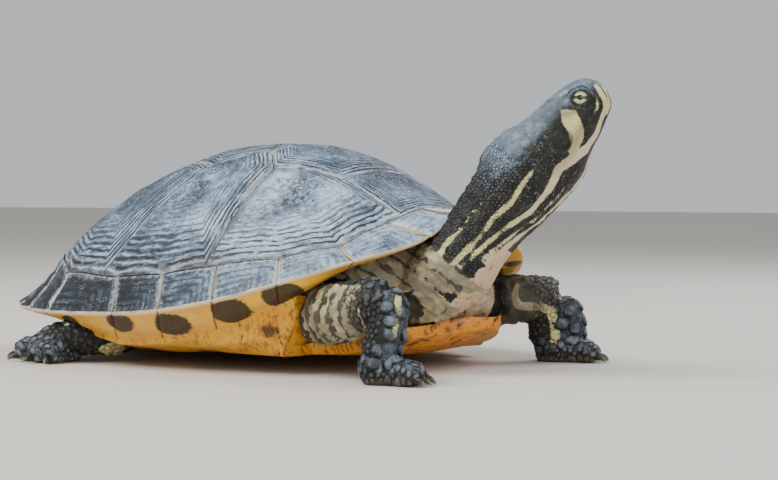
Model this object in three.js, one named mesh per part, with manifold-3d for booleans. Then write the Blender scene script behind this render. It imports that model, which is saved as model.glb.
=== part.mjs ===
// A yellow-bellied slider turtle, life size, standing with the front of its shell raised
// and its neck stretched up and to the left. Millimetres, +Z up, the turtle faces +X.
import * as THREE from 'three';
import { mergeVertices } from 'three/addons/utils/BufferGeometryUtils.js';
import Module from 'manifold-3d';

const wasm = await Module();
wasm.setup();

// ---------------------------------------------------------------- driving dimensions
const GAP = 0.3; // left between neighbours
const WELD = 1e-4; // corners closer than this are one
const SAME_FACE = 0.8; // cosine over which two facets count as one face
const LEAST_SHARE = 0.35; // keeps a sharp corner from moving far
const FRONT_REACH = 115; // from the crest's place to the front rim
const REAR_REACH = 112;
const HALF_WIDTH = 90.2;
const WIDEST_X = -20; // where the shell is widest
const OUTLINE_POWER = { front: 2.5, rear: 2.1 }; // plan outline, 2 would be an ellipse
const NUCHAL_NOTCH = { depth: 8, spread: 17 };

const CREST = {
  height: 68.2, x: 0.8, front: 2.85, frontRoundness: 1.19, rear: 2.03, rearRoundness: 1.5,
};
const SIDE_PROFILE = { power: 2.23, roundness: 1.13 };
const REAR_PROFILE = { power: 2.76, roundness: 1.02, from: -10, over: 50 };
const FRONT_BLEND = 3; // how soon the crest's fall hands over to the raised rim
const RIM_RISE = { from: 11.5, front: 25, rear: 10 };
const NECK_ARCH = { height: 12, spread: 20, from: 60, over: 55 };
const PLATE_THICKNESS = 3.4;
const REAR_SERRATION = 1.5;

// The shell's pose over the floor: nose up, leaning a little to its left.
const SHELL_PITCH = 3.6;
const SHELL_ROLL = -1.1;
const SHELL_LIFT = 19.3; // the side rim over the floor

// The neck and head lie along one straight axis.
const NECK_BASE = new THREE.Vector3(106, -8.8, 40);
const NECK_HEADING = 35; // to the turtle's left
const NECK_RISE = 51;
const HEAD_STARTS = 52; // along the axis
const EYE = { along: 78.7, up: 3.1, out: 6.9, radius: 4.3 };

const deg = THREE.MathUtils.degToRad;
const v3 = (x, y, z) => new THREE.Vector3(x, y, z);
const mix = THREE.MathUtils.lerp;

// ---------------------------------------------------------------- finishes
const finish = (color, roughness) => new THREE.MeshStandardMaterial({ color, roughness, metalness: 0 });
const HORN_SLATE = finish(0x46525c, 0.5);
const HORN_YELLOW = finish(0xd9962f, 0.5);
const SKIN_DARK = finish(0x33352f, 0.6);
const CLAW_HORN = finish(0x2a2621, 0.4);
const EYE_GREEN = finish(0xb9c46a, 0.1);

// ---------------------------------------------------------------- closed meshes
// A closed body from rings of points, each ring the same length. Both ends are closed by strips
// that run across the ring from its point number `tip`.
function loft(rings, tip = 0) {
  const count = rings[0].length;
  const positions = rings.flat().flatMap((p) => [p.x, p.y, p.z]);
  const faces = [];
  for (let i = 0; i + 1 < rings.length; i++) {
    for (let j = 0; j < count; j++) {
      const k = (j + 1) % count;
      const [a, b] = [i * count + j, i * count + k];
      faces.push(a, b, b + count, a, b + count, a + count);
    }
  }
  const strips = endStrips(count, tip);
  const last = (rings.length - 1) * count;
  strips.forEach(([a, b, c]) => faces.push(c, b, a, last + a, last + b, last + c));
  return facingOut(positions, faces);
}

function endStrips(count, tip) {
  const at = (k) => (tip + k + count) % count;
  const triangles = [];
  for (let k = 0; 2 * k + 1 < count; k++) {
    const [a, b, c, d] = [at(-k), at(k), at(k + 1), at(-k - 1)];
    if (a !== b) triangles.push([a, b, c]);
    if (c !== d) triangles.push([a, c, d]);
  }
  return triangles;
}

function facingOut(positions, faces) {
  let volume = 0;
  const at = (i) => v3(...positions.slice(3 * i, 3 * i + 3));
  for (let i = 0; i < faces.length; i += 3) {
    volume += at(faces[i]).dot(at(faces[i + 1]).cross(at(faces[i + 2])));
  }
  if (volume < 0) faces.reverse();
  const geometry = new THREE.BufferGeometry();
  geometry.setAttribute('position', new THREE.Float32BufferAttribute(positions, 3));
  geometry.setIndex(faces);
  return geometry;
}

function welded(geometry) {
  const plain = geometry.clone();
  plain.deleteAttribute('normal');
  plain.deleteAttribute('uv');
  return mergeVertices(plain, WELD);
}

function solid(geometry) {
  const joined = welded(geometry);
  return new wasm.Manifold(new wasm.Mesh({
    numProp: 3,
    vertProperties: new Float32Array(joined.attributes.position.array),
    triVerts: new Uint32Array(joined.index.array),
  }));
}

function geometryOf(body) {
  const mesh = body.getMesh();
  const geometry = new THREE.BufferGeometry();
  geometry.setAttribute('position', new THREE.Float32BufferAttribute(mesh.vertProperties, 3));
  geometry.setIndex([...mesh.triVerts]);
  return geometry;
}

// The body with every face moved outwards by at least the gap, as a tool to cut its neighbours.
function grown(geometry) {
  const joined = welded(geometry);
  const { position } = joined.attributes;
  const normals = Array.from({ length: position.count }, () => []);
  for (let i = 0; i < joined.index.count; i += 3) {
    const corners = [0, 1, 2].map((k) => joined.index.getX(i + k));
    const [a, b, c] = corners.map((k) => v3().fromBufferAttribute(position, k));
    const normal = b.sub(a).cross(c.sub(a)).normalize();
    corners.forEach((k) => normals[k].push(normal));
  }
  normals.forEach((around, i) => {
    const distinct = around.filter((n, k) => !around.slice(0, k).some((m) => m.dot(n) > SAME_FACE));
    const way = distinct.reduce((sum, n) => sum.add(n), v3(0, 0, 0));
    const least = Math.max(LEAST_SHARE, Math.min(...around.map((n) => n.dot(way))));
    const moved = v3().fromBufferAttribute(position, i).addScaledVector(way, GAP / least);
    position.setXYZ(i, moved.x, moved.y, moved.z);
  });
  return solid(joined).add(solid(geometry));
}

// The largest piece of a cut body, so that no loose sliver is left.
function mainPiece(body) {
  const pieces = body.decompose();
  return pieces.reduce((best, piece) => (piece.volume() > best.volume() ? piece : best), pieces[0]);
}

// ---------------------------------------------------------------- the shell's surfaces
function rimHalfWidth(x) {
  const [reach, power] = x > WIDEST_X
    ? [FRONT_REACH - WIDEST_X, OUTLINE_POWER.front]
    : [REAR_REACH + WIDEST_X, OUTLINE_POWER.rear];
  const t = Math.min(1, Math.abs(x - WIDEST_X) / reach);
  return HALF_WIDTH * Math.sqrt(1 - t ** power);
}

function rimHeight(x, y) {
  const frontward = (x - RIM_RISE.from) / (FRONT_REACH - RIM_RISE.from);
  const rearward = (RIM_RISE.from - x) / (REAR_REACH + RIM_RISE.from);
  const rise = x > RIM_RISE.from ? RIM_RISE.front * frontward ** 2 : RIM_RISE.rear * rearward ** 2;
  const arch = THREE.MathUtils.clamp((x - NECK_ARCH.from) / NECK_ARCH.over, 0, 1) ** 2;
  return rise + NECK_ARCH.height * arch * Math.exp(-((y / NECK_ARCH.spread) ** 2));
}

// Height of the shell's outer surface over the level of the side rim.
function domeHeight(x, y) {
  const [reach, fall, curl] = x > CREST.x
    ? [FRONT_REACH - CREST.x, CREST.front, CREST.frontRoundness]
    : [REAR_REACH + CREST.x, CREST.rear, CREST.rearRoundness];
  const t = Math.min(1, Math.abs(x - CREST.x) / reach);
  const crest = CREST.height * (1 - t ** fall) ** curl;
  const rim = rimHeight(x, y);
  const s = Math.min(1, Math.abs(y) / Math.max(1, rimHalfWidth(x)));
  const rearward = THREE.MathUtils.smoothstep(REAR_PROFILE.from - x, 0, REAR_PROFILE.over);
  const power = mix(SIDE_PROFILE.power, REAR_PROFILE.power, rearward);
  const roundness = mix(SIDE_PROFILE.roundness, REAR_PROFILE.roundness, rearward);
  return rim + (crest - rim * (1 - t ** FRONT_BLEND)) * (1 - s ** power) ** roundness;
}

const SLOPE_STEP = 0.5; // over which the dome's slope is measured
const MOST_THICKENED = 2.2; // how far a steep plate is thickened upright

// The plates are as thick square to their surface wherever the dome is steep.
function domeUnderside(x, y) {
  const step = SLOPE_STEP;
  const dx = (domeHeight(x + step, y) - domeHeight(x - step, y)) / (2 * step);
  const dy = (domeHeight(x, y + step) - domeHeight(x, y - step)) / (2 * step);
  return domeHeight(x, y) - PLATE_THICKNESS * Math.min(MOST_THICKENED, Math.hypot(1, dx, dy));
}

const SHELL_POSE = new THREE.Matrix4()
  .makeTranslation(0, 0, SHELL_LIFT)
  .multiply(new THREE.Matrix4().makeRotationY(-deg(SHELL_PITCH)))
  .multiply(new THREE.Matrix4().makeRotationX(deg(SHELL_ROLL)));
const onShell = (x, y, z) => v3(x, y, z).applyMatrix4(SHELL_POSE);

// ---------------------------------------------------------------- the scute plan
// Rim seams between marginals from the nuchal to the tail, and where each seam ends inwards.
const RIM_SEAM_X = [114.4, 110.9, 95.5, 73.7, 50.6, 27.6, 4.6, -37, -56, -74, -90, -103, -REAR_REACH];
const INNER_SEAM = [[92, 8], [92, 27], [86, 48.5], [68, 62.5], [44, 71.5], [20, 77], [-4, 79], [-36, 77],
  [-50, 68.5], [-63, 57], [-74, 44], [-83.5, 27], [-88.5, 0]];
const V1_FRONT = [92, 20.5];
const V1_WAIST = [76, 22];
const V12 = [66, 23.5];
const C12_TOP = [37.5, 33.5];
const V23 = [26.5, 22.5];
const C23_TOP = [5, 36];
const V34 = [-16, 25.5];
const C34_TOP = [-38, 34];
const V45 = [-60, 20];
const C12_LOW = [39, 72.5];
const C23_LOW = [-13.5, 78.4];
const C34_LOW = [-55, 64.1];
const C4_LOW = [-78, 36.8];

const mirrored = (points) => points.map(([x, y]) => [x, -y]).reverse();
const acrossTheBack = (right) => [...right, ...mirrored(right.filter(([, y]) => y > 0))];

const VERTEBRALS = [
  acrossTheBack([INNER_SEAM[0], V1_FRONT, V1_WAIST, V12]),
  acrossTheBack([V12, C12_TOP, V23]),
  acrossTheBack([V23, C23_TOP, V34]),
  acrossTheBack([V34, C34_TOP, V45]),
  acrossTheBack([V45, C4_LOW, INNER_SEAM[11], INNER_SEAM[12]]),
];
const PLEURALS = [
  [V1_WAIST, V1_FRONT, ...INNER_SEAM.slice(1, 5), C12_LOW, C12_TOP, V12],
  [C12_TOP, C12_LOW, INNER_SEAM[5], INNER_SEAM[6], C23_LOW, C23_TOP, V23],
  [C23_TOP, C23_LOW, INNER_SEAM[7], INNER_SEAM[8], C34_LOW, C34_TOP, V34],
  [C34_TOP, C34_LOW, INNER_SEAM[9], INNER_SEAM[10], C4_LOW, V45],
];

// ---------------------------------------------------------------- carapace plates
const PLATE_STEP = 15; // longest facet along a plate's edge
const PLATE_RINGS = [0.04, 0.52, 1]; // how much of the plan each ring covers
const PLATE_EDGE = 0.9 * GAP; // left free at the plate's edge

function alongOutline(corners) {
  const points = [];
  corners.forEach(([x, y], i) => {
    const [u, v] = corners[(i + 1) % corners.length];
    const steps = Math.max(1, Math.round(Math.hypot(u - x, v - y) / PLATE_STEP));
    for (let k = 0; k < steps; k++) points.push([mix(x, u, k / steps), mix(y, v, k / steps)]);
  });
  return points;
}

// A plate of the dome over a plan outline: rings shrink to its middle above and below.
function plate(corners, side) {
  const outline = alongOutline(corners).map(([x, y]) => [x, side * y]);
  const centre = [0, 1].map((k) => outline.reduce((sum, p) => sum + p[k], 0) / outline.length);
  const reach = Math.max(...outline.map(([x, y]) => Math.hypot(x - centre[0], y - centre[1])));
  const ring = (share, height) => outline.map(([x, y]) => {
    const shrink = share * (1 - PLATE_EDGE / reach);
    const [px, py] = [mix(centre[0], x, shrink), mix(centre[1], y, shrink)];
    return onShell(px, py, height(px, py));
  });
  return loft([
    ...PLATE_RINGS.map((s) => ring(s, domeHeight)),
    ...PLATE_RINGS.toReversed().map((s) => ring(s, domeUnderside)),
  ]);
}

// ---------------------------------------------------------------- marginals
const UNDER_DROP = [0.5, 0.5, 1.5, 6, 9, 9, 8.5, 2.2, 0.8, 0.6, 0.6, 0.6, 0.6]; // underside below the rim
const UNDER_REACH = 13; // how far in the underside runs
const RIM_ROUND = 0.9; // half the thickness of the rim's edge
const SERRATED_FROM = 7; // the marginal from which the rear rim is notched and flared
const REAR_FLARE = 2.4;
const SIDE_FLARE = 0.3;

const rimPoint = (x) => {
  const y = rimHalfWidth(x);
  return [x - NUCHAL_NOTCH.depth * (x > 0 ? Math.exp(-((y / NUCHAL_NOTCH.spread) ** 2)) : 0), y];
};

// One cross-section of the left marginals in the shell's own frame, from the inner seam over
// the rim and back below.
function rimSection(station) {
  const i = Math.min(Math.floor(station), RIM_SEAM_X.length - 2);
  const t = station - i;
  const seamX = mix(RIM_SEAM_X[i], RIM_SEAM_X[i + 1], t);
  const [rx, ry] = rimPoint(seamX);
  const [ix, iy] = [0, 1].map((k) => mix(INNER_SEAM[i][k], INNER_SEAM[i + 1][k], t));
  const drop = mix(UNDER_DROP[i], UNDER_DROP[i + 1], t);
  const width = Math.hypot(rx - ix, ry - iy);
  const [ux, uy] = [(ix - rx) / width, (iy - ry) / width];
  const notch = station > SERRATED_FROM ? REAR_SERRATION * (1 - 2 * Math.min(t, 1 - t)) : 0;
  const flare = station > SERRATED_FROM ? REAR_FLARE : SIDE_FLARE;
  const at = (inwards, z) => [rx + ux * inwards, ry + uy * inwards, z];
  const rim = rimHeight(seamX, ry);
  const inner = width - GAP / 2;
  const seam = domeHeight(rx + ux * inner, ry + uy * inner);
  return [
    at(inner, seam),
    at(width / 2, (seam + rim) / 2 - flare),
    at(notch, rim + RIM_ROUND),
    at(notch, rim - RIM_ROUND),
    at(Math.min(UNDER_REACH, width - 1), rim - drop - 2 * RIM_ROUND),
    at(inner, domeUnderside(ix, iy)),
  ];
}

const marginalSection = (station, side) => rimSection(station).map(([x, y, z]) => onShell(x, side * y, z));

const PER_MARGINAL = 2; // facets along each marginal

function marginals(side) {
  const last = RIM_SEAM_X.length - 1;
  const clear = 0.02; // keeps the first and last sections off the neighbours
  const stations = Array.from({ length: last * PER_MARGINAL + 1 }, (_, k) => k / PER_MARGINAL);
  return loft(stations.map((station) => marginalSection(
    THREE.MathUtils.clamp(station, clear, last - clear), side)), 2);
}

// The small middle scute over the neck, a cross-section of the same ring swept over the midline.
function nuchal() {
  const [innerX, innerHalf] = INNER_SEAM[0];
  const [rimX, rimHalf] = rimPoint(RIM_SEAM_X[0]);
  const section = (share) => {
    const [yi, yr] = [share * (innerHalf - GAP), share * (rimHalf - GAP)];
    const seam = domeHeight(innerX, yi);
    const rim = rimHeight(FRONT_REACH, yr);
    return [
      onShell(innerX + GAP, yi, seam),
      onShell((innerX + rimX) / 2, (yi + yr) / 2, (seam + rim) / 2),
      onShell(rimX, yr, rim + RIM_ROUND),
      onShell(rimX, yr, rim - RIM_ROUND),
      onShell(innerX + GAP, yi, domeUnderside(innerX, yi)),
    ];
  };
  return loft([-1, 0, 1].map(section), 2);
}

// ---------------------------------------------------------------- plastron
const BELLY = -15.6; // underside of the plastron below the rim level
const PLASTRON_THICKNESS = 4.5;
const KEEL = 0.4; // the midline hangs a little lower
const BELLY_FALL = { from: 30, over: 50, by: 2.9 }; // the plastron dips towards its front hinge
const BELLY_RISE = { from: 10, over: 118, by: 6.4 }; // and rises towards the tail
const GULAR_RISE = { from: 84, over: 18, by: 2.8 }; // the front lip turns up
// The lip's sides turn up too, the left one more.
const GULAR_LIFT = { from: 66, over: 36, sides: 0.002, left: 0.055 };

function bellyHeight(x) {
  const fall = BELLY_FALL.by * THREE.MathUtils.clamp((x - BELLY_FALL.from) / BELLY_FALL.over, 0, 1);
  const rise = BELLY_RISE.by * Math.max(0, (BELLY_RISE.from - x) / BELLY_RISE.over);
  const lip = GULAR_RISE.by * Math.max(0, (x - GULAR_RISE.from) / GULAR_RISE.over) ** 2;
  return BELLY - fall + rise + lip;
}

const LIP = { from: 66, over: 22, height: 6, slope: 0.3, end: 0.6 };
const FRONT_LOBE = [[66.8, 50], [78, 46.5], [88, 41.5], [95, 35], [99.5, 27], [102, 18]];
const REAR_LOBE = [[-14, 50], [-34, 47], [-54, 45.5], [-74, 41], [-90, 33.5], [-102, 23], [-108, 14]];
const BRIDGE = [[66, 8], [54, 5], [36, 0], [12, 0], [-4, -8], [-13, -14]]; // place, and the wing's lean
const BRIDGE_SHELF = { width: 5, slope: 0.3, height: 0.62 }; // its ledge, and how low its flank is
const BELLY_HALF = { inside: 50, outside: 60, flank: 70 }; // half widths of the middle plastron
const BRIDGE_STATIONS = Array.from({ length: 25 }, (_, i) => 2 + i / 4); // the marginals it may meet

// Half width and height of the marginals' lower edge at a place along the shell.
function lowerEdge(x) {
  const line = BRIDGE_STATIONS.map((station) => rimSection(station)[4]);
  const i = line.findIndex(([px]) => px <= x);
  const t = (line[i - 1][0] - x) / (line[i - 1][0] - line[i][0]);
  return [1, 2].map((k) => mix(line[i - 1][k], line[i][k], t));
}

function mirrorRing(right) {
  const offMidline = right.filter(([, y]) => y !== 0);
  return [...right, ...offMidline.map(([x, y, z]) => [x, -y, z]).reverse()];
}

function gularLift(x, y) {
  const share = THREE.MathUtils.clamp((x - GULAR_LIFT.from) / GULAR_LIFT.over, 0, 1);
  return share * (GULAR_LIFT.sides * y * y + GULAR_LIFT.left * y);
}

// A lobe from its hinge outwards, its free end lipped and the front lobe's sides turned up.
function lobe(outline) {
  return loft(outline.map(([x, half], i) => {
    const z = bellyHeight(x);
    const lip = LIP.height * THREE.MathUtils.clamp((x - LIP.from) / LIP.over, 0, 1);
    const top = z + PLASTRON_THICKNESS + (i === outline.length - 1 ? 1 + LIP.end * lip : 0);
    return mirrorRing([
      [x, 0, top],
      [x, half - 4, top + LIP.slope * lip],
      [x, half, z + 0.7 * PLASTRON_THICKNESS + lip],
      [x, half - 3, z],
      [x, 0, z - KEEL],
    ]).map(([px, py, pz]) => onShell(px, py, pz + gularLift(px, py)));
  }), 2);
}

// The middle of the plastron with both bridges, which rise to the marginals.
function middlePlastron() {
  return loft(BRIDGE.map(([x, lean]) => {
    const z = bellyHeight(x);
    const [edgeY, edgeZ] = lowerEdge(x + lean);
    const [wing, edge] = [edgeY - GAP, edgeZ - GAP];
    const { width, slope, height } = BRIDGE_SHELF;
    return mirrorRing([
      [x, 0, z + PLASTRON_THICKNESS],
      [x, BELLY_HALF.inside, z + PLASTRON_THICKNESS],
      [x + lean, wing - width, edge - slope],
      [x + lean, wing, edge],
      [x + lean / 2, Math.min(wing, BELLY_HALF.flank), mix(edge, z, height)],
      [x, BELLY_HALF.outside, z],
      [x, 0, z - KEEL],
    ]).map((p) => onShell(...p));
  }), 3);
}

// ---------------------------------------------------------------- flesh
// A closed tube through stations {at, up, down, side}: up and down are its half heights along
// the limb's back, side its half width. Sections turn with the path, squared to `across`.
function tube(stations, { rings, sides, across, fullness = 2.2 }) {
  const path = new THREE.CatmullRomCurve3(stations.map((s) => s.at), false, 'centripetal');
  const sizes = ['up', 'down', 'side'].map((key) => new THREE.CatmullRomCurve3(
    stations.map((s, i) => v3(i, s[key], 0)), false, 'catmullrom', 0.5));
  const result = [];
  for (let i = 0; i <= rings; i++) {
    const t = i / rings;
    const centre = path.getPoint(t);
    const forward = path.getTangent(t);
    const side = across.clone().addScaledVector(forward, -across.dot(forward)).normalize();
    const back = side.clone().cross(forward);
    const [up, down, wide] = sizes.map((curve) => curve.getPoint(t).y);
    const ring = [];
    for (let j = 0; j < sides; j++) {
      const angle = (j / sides) * 2 * Math.PI;
      const [c, s] = [Math.cos(angle), Math.sin(angle)];
      const round = (value) => Math.sign(value) * Math.abs(value) ** (2 / fullness);
      ring.push(centre.clone()
        .addScaledVector(side, wide * round(c))
        .addScaledVector(back, (s > 0 ? up : down) * round(s)));
    }
    result.push(ring);
  }
  return loft(result);
}

const heading = (angle) => v3(Math.cos(deg(angle)), Math.sin(deg(angle)), 0);
const NECK_AXIS = heading(NECK_HEADING).multiplyScalar(Math.cos(deg(NECK_RISE)))
  .add(v3(0, 0, Math.sin(deg(NECK_RISE))));
const HEAD_RIGHT = heading(NECK_HEADING - 90);
const HEAD_TOP = HEAD_RIGHT.clone().cross(NECK_AXIS);
const onHead = (along, up = 0, out = 0) => NECK_BASE.clone()
  .addScaledVector(NECK_AXIS, along).addScaledVector(HEAD_TOP, up).addScaledVector(HEAD_RIGHT, out);
const headStation = ([along, up, down, side]) => ({ at: onHead(along), up, down, side });

const NECK_ROOT = [
  { at: v3(78, -3, 32), up: 11, down: 13, side: 27 },
  { at: v3(93, -5, 33.5), up: 14, down: 15, side: 26 },
];
const NECK = [[2, 14.5, 16, 21.5], [12, 13.8, 14.3, 17], [24, 15, 14.2, 15.2], [33, 16.2, 15.6, 14.8],
  [41, 18.9, 16.3, 15.2], [HEAD_STARTS - GAP, 18, 17, 15.6]];
const HEAD = [[HEAD_STARTS, 18, 17, 15.6], [57.3, 15.8, 16.8, 15.6], [62.5, 14.3, 14.8, 15.2],
  [67.3, 13.3, 12.6, 14.0], [72.5, 12.3, 11.7, 12.2], [78.5, 10.8, 9.9, 10.6], [82.5, 9.4, 8.7, 8.6],
  [85.2, 7.7, 7.2, 6.6], [87.2, 5.7, 3.4, 4.6], [88.1, 4.4, 0.2, 2.4]];

const neckTube = tube([...NECK_ROOT, ...NECK.map(headStation)],
  { rings: 10, sides: 14, across: HEAD_RIGHT });
const headTube = tube(HEAD.map(headStation), { rings: 12, sides: 14, across: HEAD_RIGHT });

function eyeball(side) {
  const ball = new THREE.SphereGeometry(EYE.radius, 10, 7);
  const centre = onHead(EYE.along, EYE.up, side * EYE.out);
  return ball.translate(centre.x, centre.y, centre.z);
}

// The trunk fills the shell between the plates, and closes its front and rear openings.
const TRUNK = {
  front: 103, rear: -97, frontRound: 16, rearRound: 22, // how long its rounded ends are
  clearance: 1.2, // left to the plates
  shelf: 46, shelfRise: 0.36, // its floor rises outside this half width
  least: 3, // height at its sides
  waist: 0.42, // where it is widest, between floor and roof
  stations: 15, sides: 7,
};
const TRUNK_WIDTH = [[103, 16], [99, 25], [92, 35], [84, 42], [74, 47], [60, 62], [46, 66], [-6, 66],
  [-20, 56], [-40, 48], [-70, 38], [-88, 26], [-97, 12]];

function along(table, x) {
  const i = table.findIndex(([tx]) => tx <= x);
  if (i <= 0) return table[i < 0 ? table.length - 1 : 0][1];
  const [[xa, a], [xb, b]] = [table[i - 1], table[i]];
  return mix(a, b, (xa - x) / (xa - xb));
}

function trunkSection(x) {
  const half = along(TRUNK_WIDTH, x);
  const toFront = (TRUNK.front + 2 - x) / TRUNK.frontRound;
  const toRear = (x - TRUNK.rear + 4) / TRUNK.rearRound;
  const endRound = Math.sqrt(1 - (1 - Math.min(toFront, toRear, 1)) ** 2);
  const floorOver = bellyHeight(x) + PLASTRON_THICKNESS + TRUNK.clearance;
  const floor = (y) => floorOver + TRUNK.shelfRise * Math.max(0, Math.abs(y) - TRUNK.shelf);
  const nearerEnd = Math.sign(x) * (Math.abs(x) + 3);
  const plates = (y) => Math.min(domeUnderside(x, y), domeUnderside(nearerEnd, y));
  const roof = (y) => Math.max(floor(y) + TRUNK.least, plates(y) - TRUNK.clearance);
  const point = (s, surface) => {
    const y = s * half;
    const share = Math.sqrt(Math.max(0, 1 - s ** 4)) * endRound;
    return onShell(x, y, mix(mix(floor(y), roof(y), TRUNK.waist), surface(y), share));
  };
  const shares = Array.from({ length: TRUNK.sides }, (_, j) => 1 - (2 * j) / TRUNK.sides);
  return [...shares.map((s) => point(s, roof)), ...shares.map((s) => point(-s, floor))];
}

function trunk() {
  return loft(Array.from({ length: TRUNK.stations + 1 }, (_, i) => (
    trunkSection(mix(TRUNK.front, TRUNK.rear, i / TRUNK.stations)))));
}

// ---------------------------------------------------------------- limbs
function limb(points) {
  return points.map(([x, y, z, up, down, side]) => ({ at: v3(x, y, z), up, down, side }));
}

const FORELEG_RIGHT = {
  name: 'fore_right',
  across: v3(0.45, -0.85, 0.25),
  upper: limb([[66, -40, 21, 11, 11, 12], [80, -48, 23, 11.5, 12, 11], [95, -54, 25.5, 10.5, 11.5, 9.5],
    [108, -57, 29, 8.6, 9, 7.5], [113.5, -57.3, 30.6, 7.6, 8, 6.8]]),
  lower: limb([[113.8, -57.3, 30.6, 7.2, 7.6, 6.8], [117, -57, 26.5, 6.8, 7, 6.4],
    [116, -58, 18, 7.2, 7.2, 6.2], [114, -59.6, 9.5, 7.2, 7.2, 6]]),
  foot: { at: v3(114, -59.6, 0), heading: 32, heel: 6.5, palm: 11.5, half: 7.2, height: 12.5,
    toes: 5, toe: 8, skew: 0, spread: 54, claw: 4.2, thick: 1.1 },
};
const FORELEG_LEFT = {
  name: 'fore_left',
  across: v3(-0.55, -0.8, 0.1),
  upper: limb([[66, 36, 21, 11, 11, 12], [80, 44, 23.5, 10.5, 11, 11], [92, 51, 25.8, 9.6, 10.4, 10],
    [101, 57.5, 26.6, 8.2, 9, 8.6], [104.5, 60, 26.2, 7.6, 8.4, 8]]),
  acrossLower: v3(0.65, -0.75, 0.1),
  lower: limb([[104.3, 60, 25.5, 8.5, 8.5, 8], [104.6, 60.6, 20, 11, 11, 7.4],
    [104.4, 61.2, 14.5, 12, 12, 7],
    [104.2, 61.8, 8.6, 12, 12, 7]]),
  foot: { at: v3(105, 62.6, 0), heading: 42, heel: 10, palm: 11, half: 8.6, height: 12.5,
    toes: 5, toe: 8, skew: 0, spread: 60, claw: 4, thick: 1.1 },
};
const HINDLEG_RIGHT = {
  name: 'hind_right',
  across: v3(0.75, -0.3, 0.6),
  upper: limb([[-52, -38, 16.5, 9, 9, 11], [-38, -48, 14, 9, 9, 10], [-26, -57.5, 11.3, 7.6, 8, 8],
    [-20.5, -63.5, 9.4, 6.6, 7, 7]]),
  lower: limb([[-20.3, -64, 9.3, 6.6, 7, 7], [-21.5, -70, 9.5, 7, 7.2, 7], [-26, -77, 10.5, 7.6, 8, 7.8],
    [-32, -83, 10.5, 8, 8, 9.5]]),
  foot: { at: v3(-37, -82, 0), heading: -108, heel: 9, palm: 7.5, half: 11.5, height: 17,
    toes: 4, toe: 9, skew: 0.6, spread: 100, claw: 4.6, thick: 1.4 },
};
const HINDLEG_LEFT = {
  name: 'hind_left',
  across: v3(-0.75, -0.3, -0.6),
  upper: limb([[-52, 38, 16, 9, 9, 11], [-40, 50, 13.6, 9, 9, 10], [-31, 60, 11.4, 7.6, 8, 8],
    [-28, 67, 9.8, 6.8, 7, 7]]),
  lower: limb([[-28, 67.6, 9.7, 6.8, 7, 7], [-32, 74, 9.6, 7, 7.2, 7], [-41, 80, 9.8, 7.4, 7.6, 7.6],
    [-49, 84, 9.4, 7, 7.2, 8]]),
  foot: { at: v3(-52, 85, 0), heading: 148, heel: 7, palm: 7, half: 11, height: 13.5,
    toes: 4, toe: 9.5, skew: -0.4, spread: 84, claw: 4.6, thick: 1.25 },
};
const LIMBS = [FORELEG_RIGHT, FORELEG_LEFT, HINDLEG_RIGHT, HINDLEG_LEFT];

const TOE_ROOT = { ahead: 0.7, apart: 1.4 }; // in shares of the palm and the half width
const OUTER_TOES = 0.32; // how much shorter than the middle ones
// Sections of a toe: share of its length and further on, height, and half sizes in its thickness.
const TOE = [
  { share: 0, on: -3, z: 4.2, up: 4.8, down: 5, side: 3.1 },
  { share: 0.5, on: 0, z: 4, up: 3.8, down: 4.8, side: 2.9 },
  { share: 1, on: 0, z: 2.5, up: 2.4, down: 3.2, side: 2.1 },
];
const CLAW = [
  { share: 0, z: 2.1, up: 1.3, down: 1.2, side: 1.1 },
  { share: 0.55, z: 1.9, up: 1, down: 0.9, side: 0.8 },
  { share: 1, z: 0.75, up: 0.35, down: 0.35, side: 0.3 },
];
// Sections of a palm: shares of heel and palm and further on, then shares of height and half width.
const PALM = [
  { heel: 1, palm: 0, on: 0, z: 0.34, up: 0.3, down: 0.42, side: 0.55 },
  { heel: 0.5, palm: 0, on: 0, z: 0.4, up: 0.52, down: 0.5, side: 0.92 },
  { heel: 0, palm: 0.3, on: 0, z: 0.36, up: 0.5, down: 0.46, side: 1 },
  { heel: 0, palm: 1, on: 0, z: 0.3, up: 0.3, down: 0.4, side: 1.05 },
  { heel: 0, palm: 1, on: 2.5, z: 0.24, up: 0.12, down: 0.3, side: 0.9 },
];

const toePlace = (foot, i) => i / (foot.toes - 1) - 0.5;
const toeAngle = (foot, i) => foot.heading + foot.spread * toePlace(foot, i);
const stepFrom = (base, way) => (distance, z) => base.clone().addScaledVector(way, distance).setZ(z);

function toeStations(foot, i) {
  const place = toePlace(foot, i);
  const root = foot.at.clone()
    .addScaledVector(heading(foot.heading), foot.palm * TOE_ROOT.ahead)
    .addScaledVector(heading(foot.heading + 90), foot.half * TOE_ROOT.apart * place);
  const length = foot.toe * (1 - OUTER_TOES * Math.abs(place)) * (1 - foot.skew * place);
  const step = stepFrom(root, heading(toeAngle(foot, i)));
  return TOE.map(({ share, on, z, up, down, side }) => (
    { at: step(share * length + on, z), up: up * foot.thick, down, side: side * foot.thick }));
}

function footParts(foot) {
  const step = stepFrom(foot.at, heading(foot.heading));
  const palm = tube(PALM.map(({ heel, palm: share, on, z, up, down, side }) => ({
    at: step(share * foot.palm + on - heel * foot.heel, z * foot.height),
    up: up * foot.height, down: down * foot.height, side: side * foot.half,
  })), { rings: 5, sides: 10, across: heading(foot.heading - 90) });
  const toes = Array.from({ length: foot.toes }, (_, i) => tube(toeStations(foot, i),
    { rings: 2, sides: 6, across: heading(toeAngle(foot, i) - 90) }));
  return [palm, ...toes];
}

// A claw grows from the toe's end, curves down and just clears the floor.
function claw(foot, i) {
  const step = stepFrom(toeStations(foot, i).at(-1).at, heading(toeAngle(foot, i)));
  const station = ({ share, z, ...sizes }) => ({ at: step(GAP + share * foot.claw, z), ...sizes });
  const stations = CLAW.map(station);
  return tube(stations, { rings: 2, sides: 5, across: heading(toeAngle(foot, i) - 90) });
}

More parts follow.
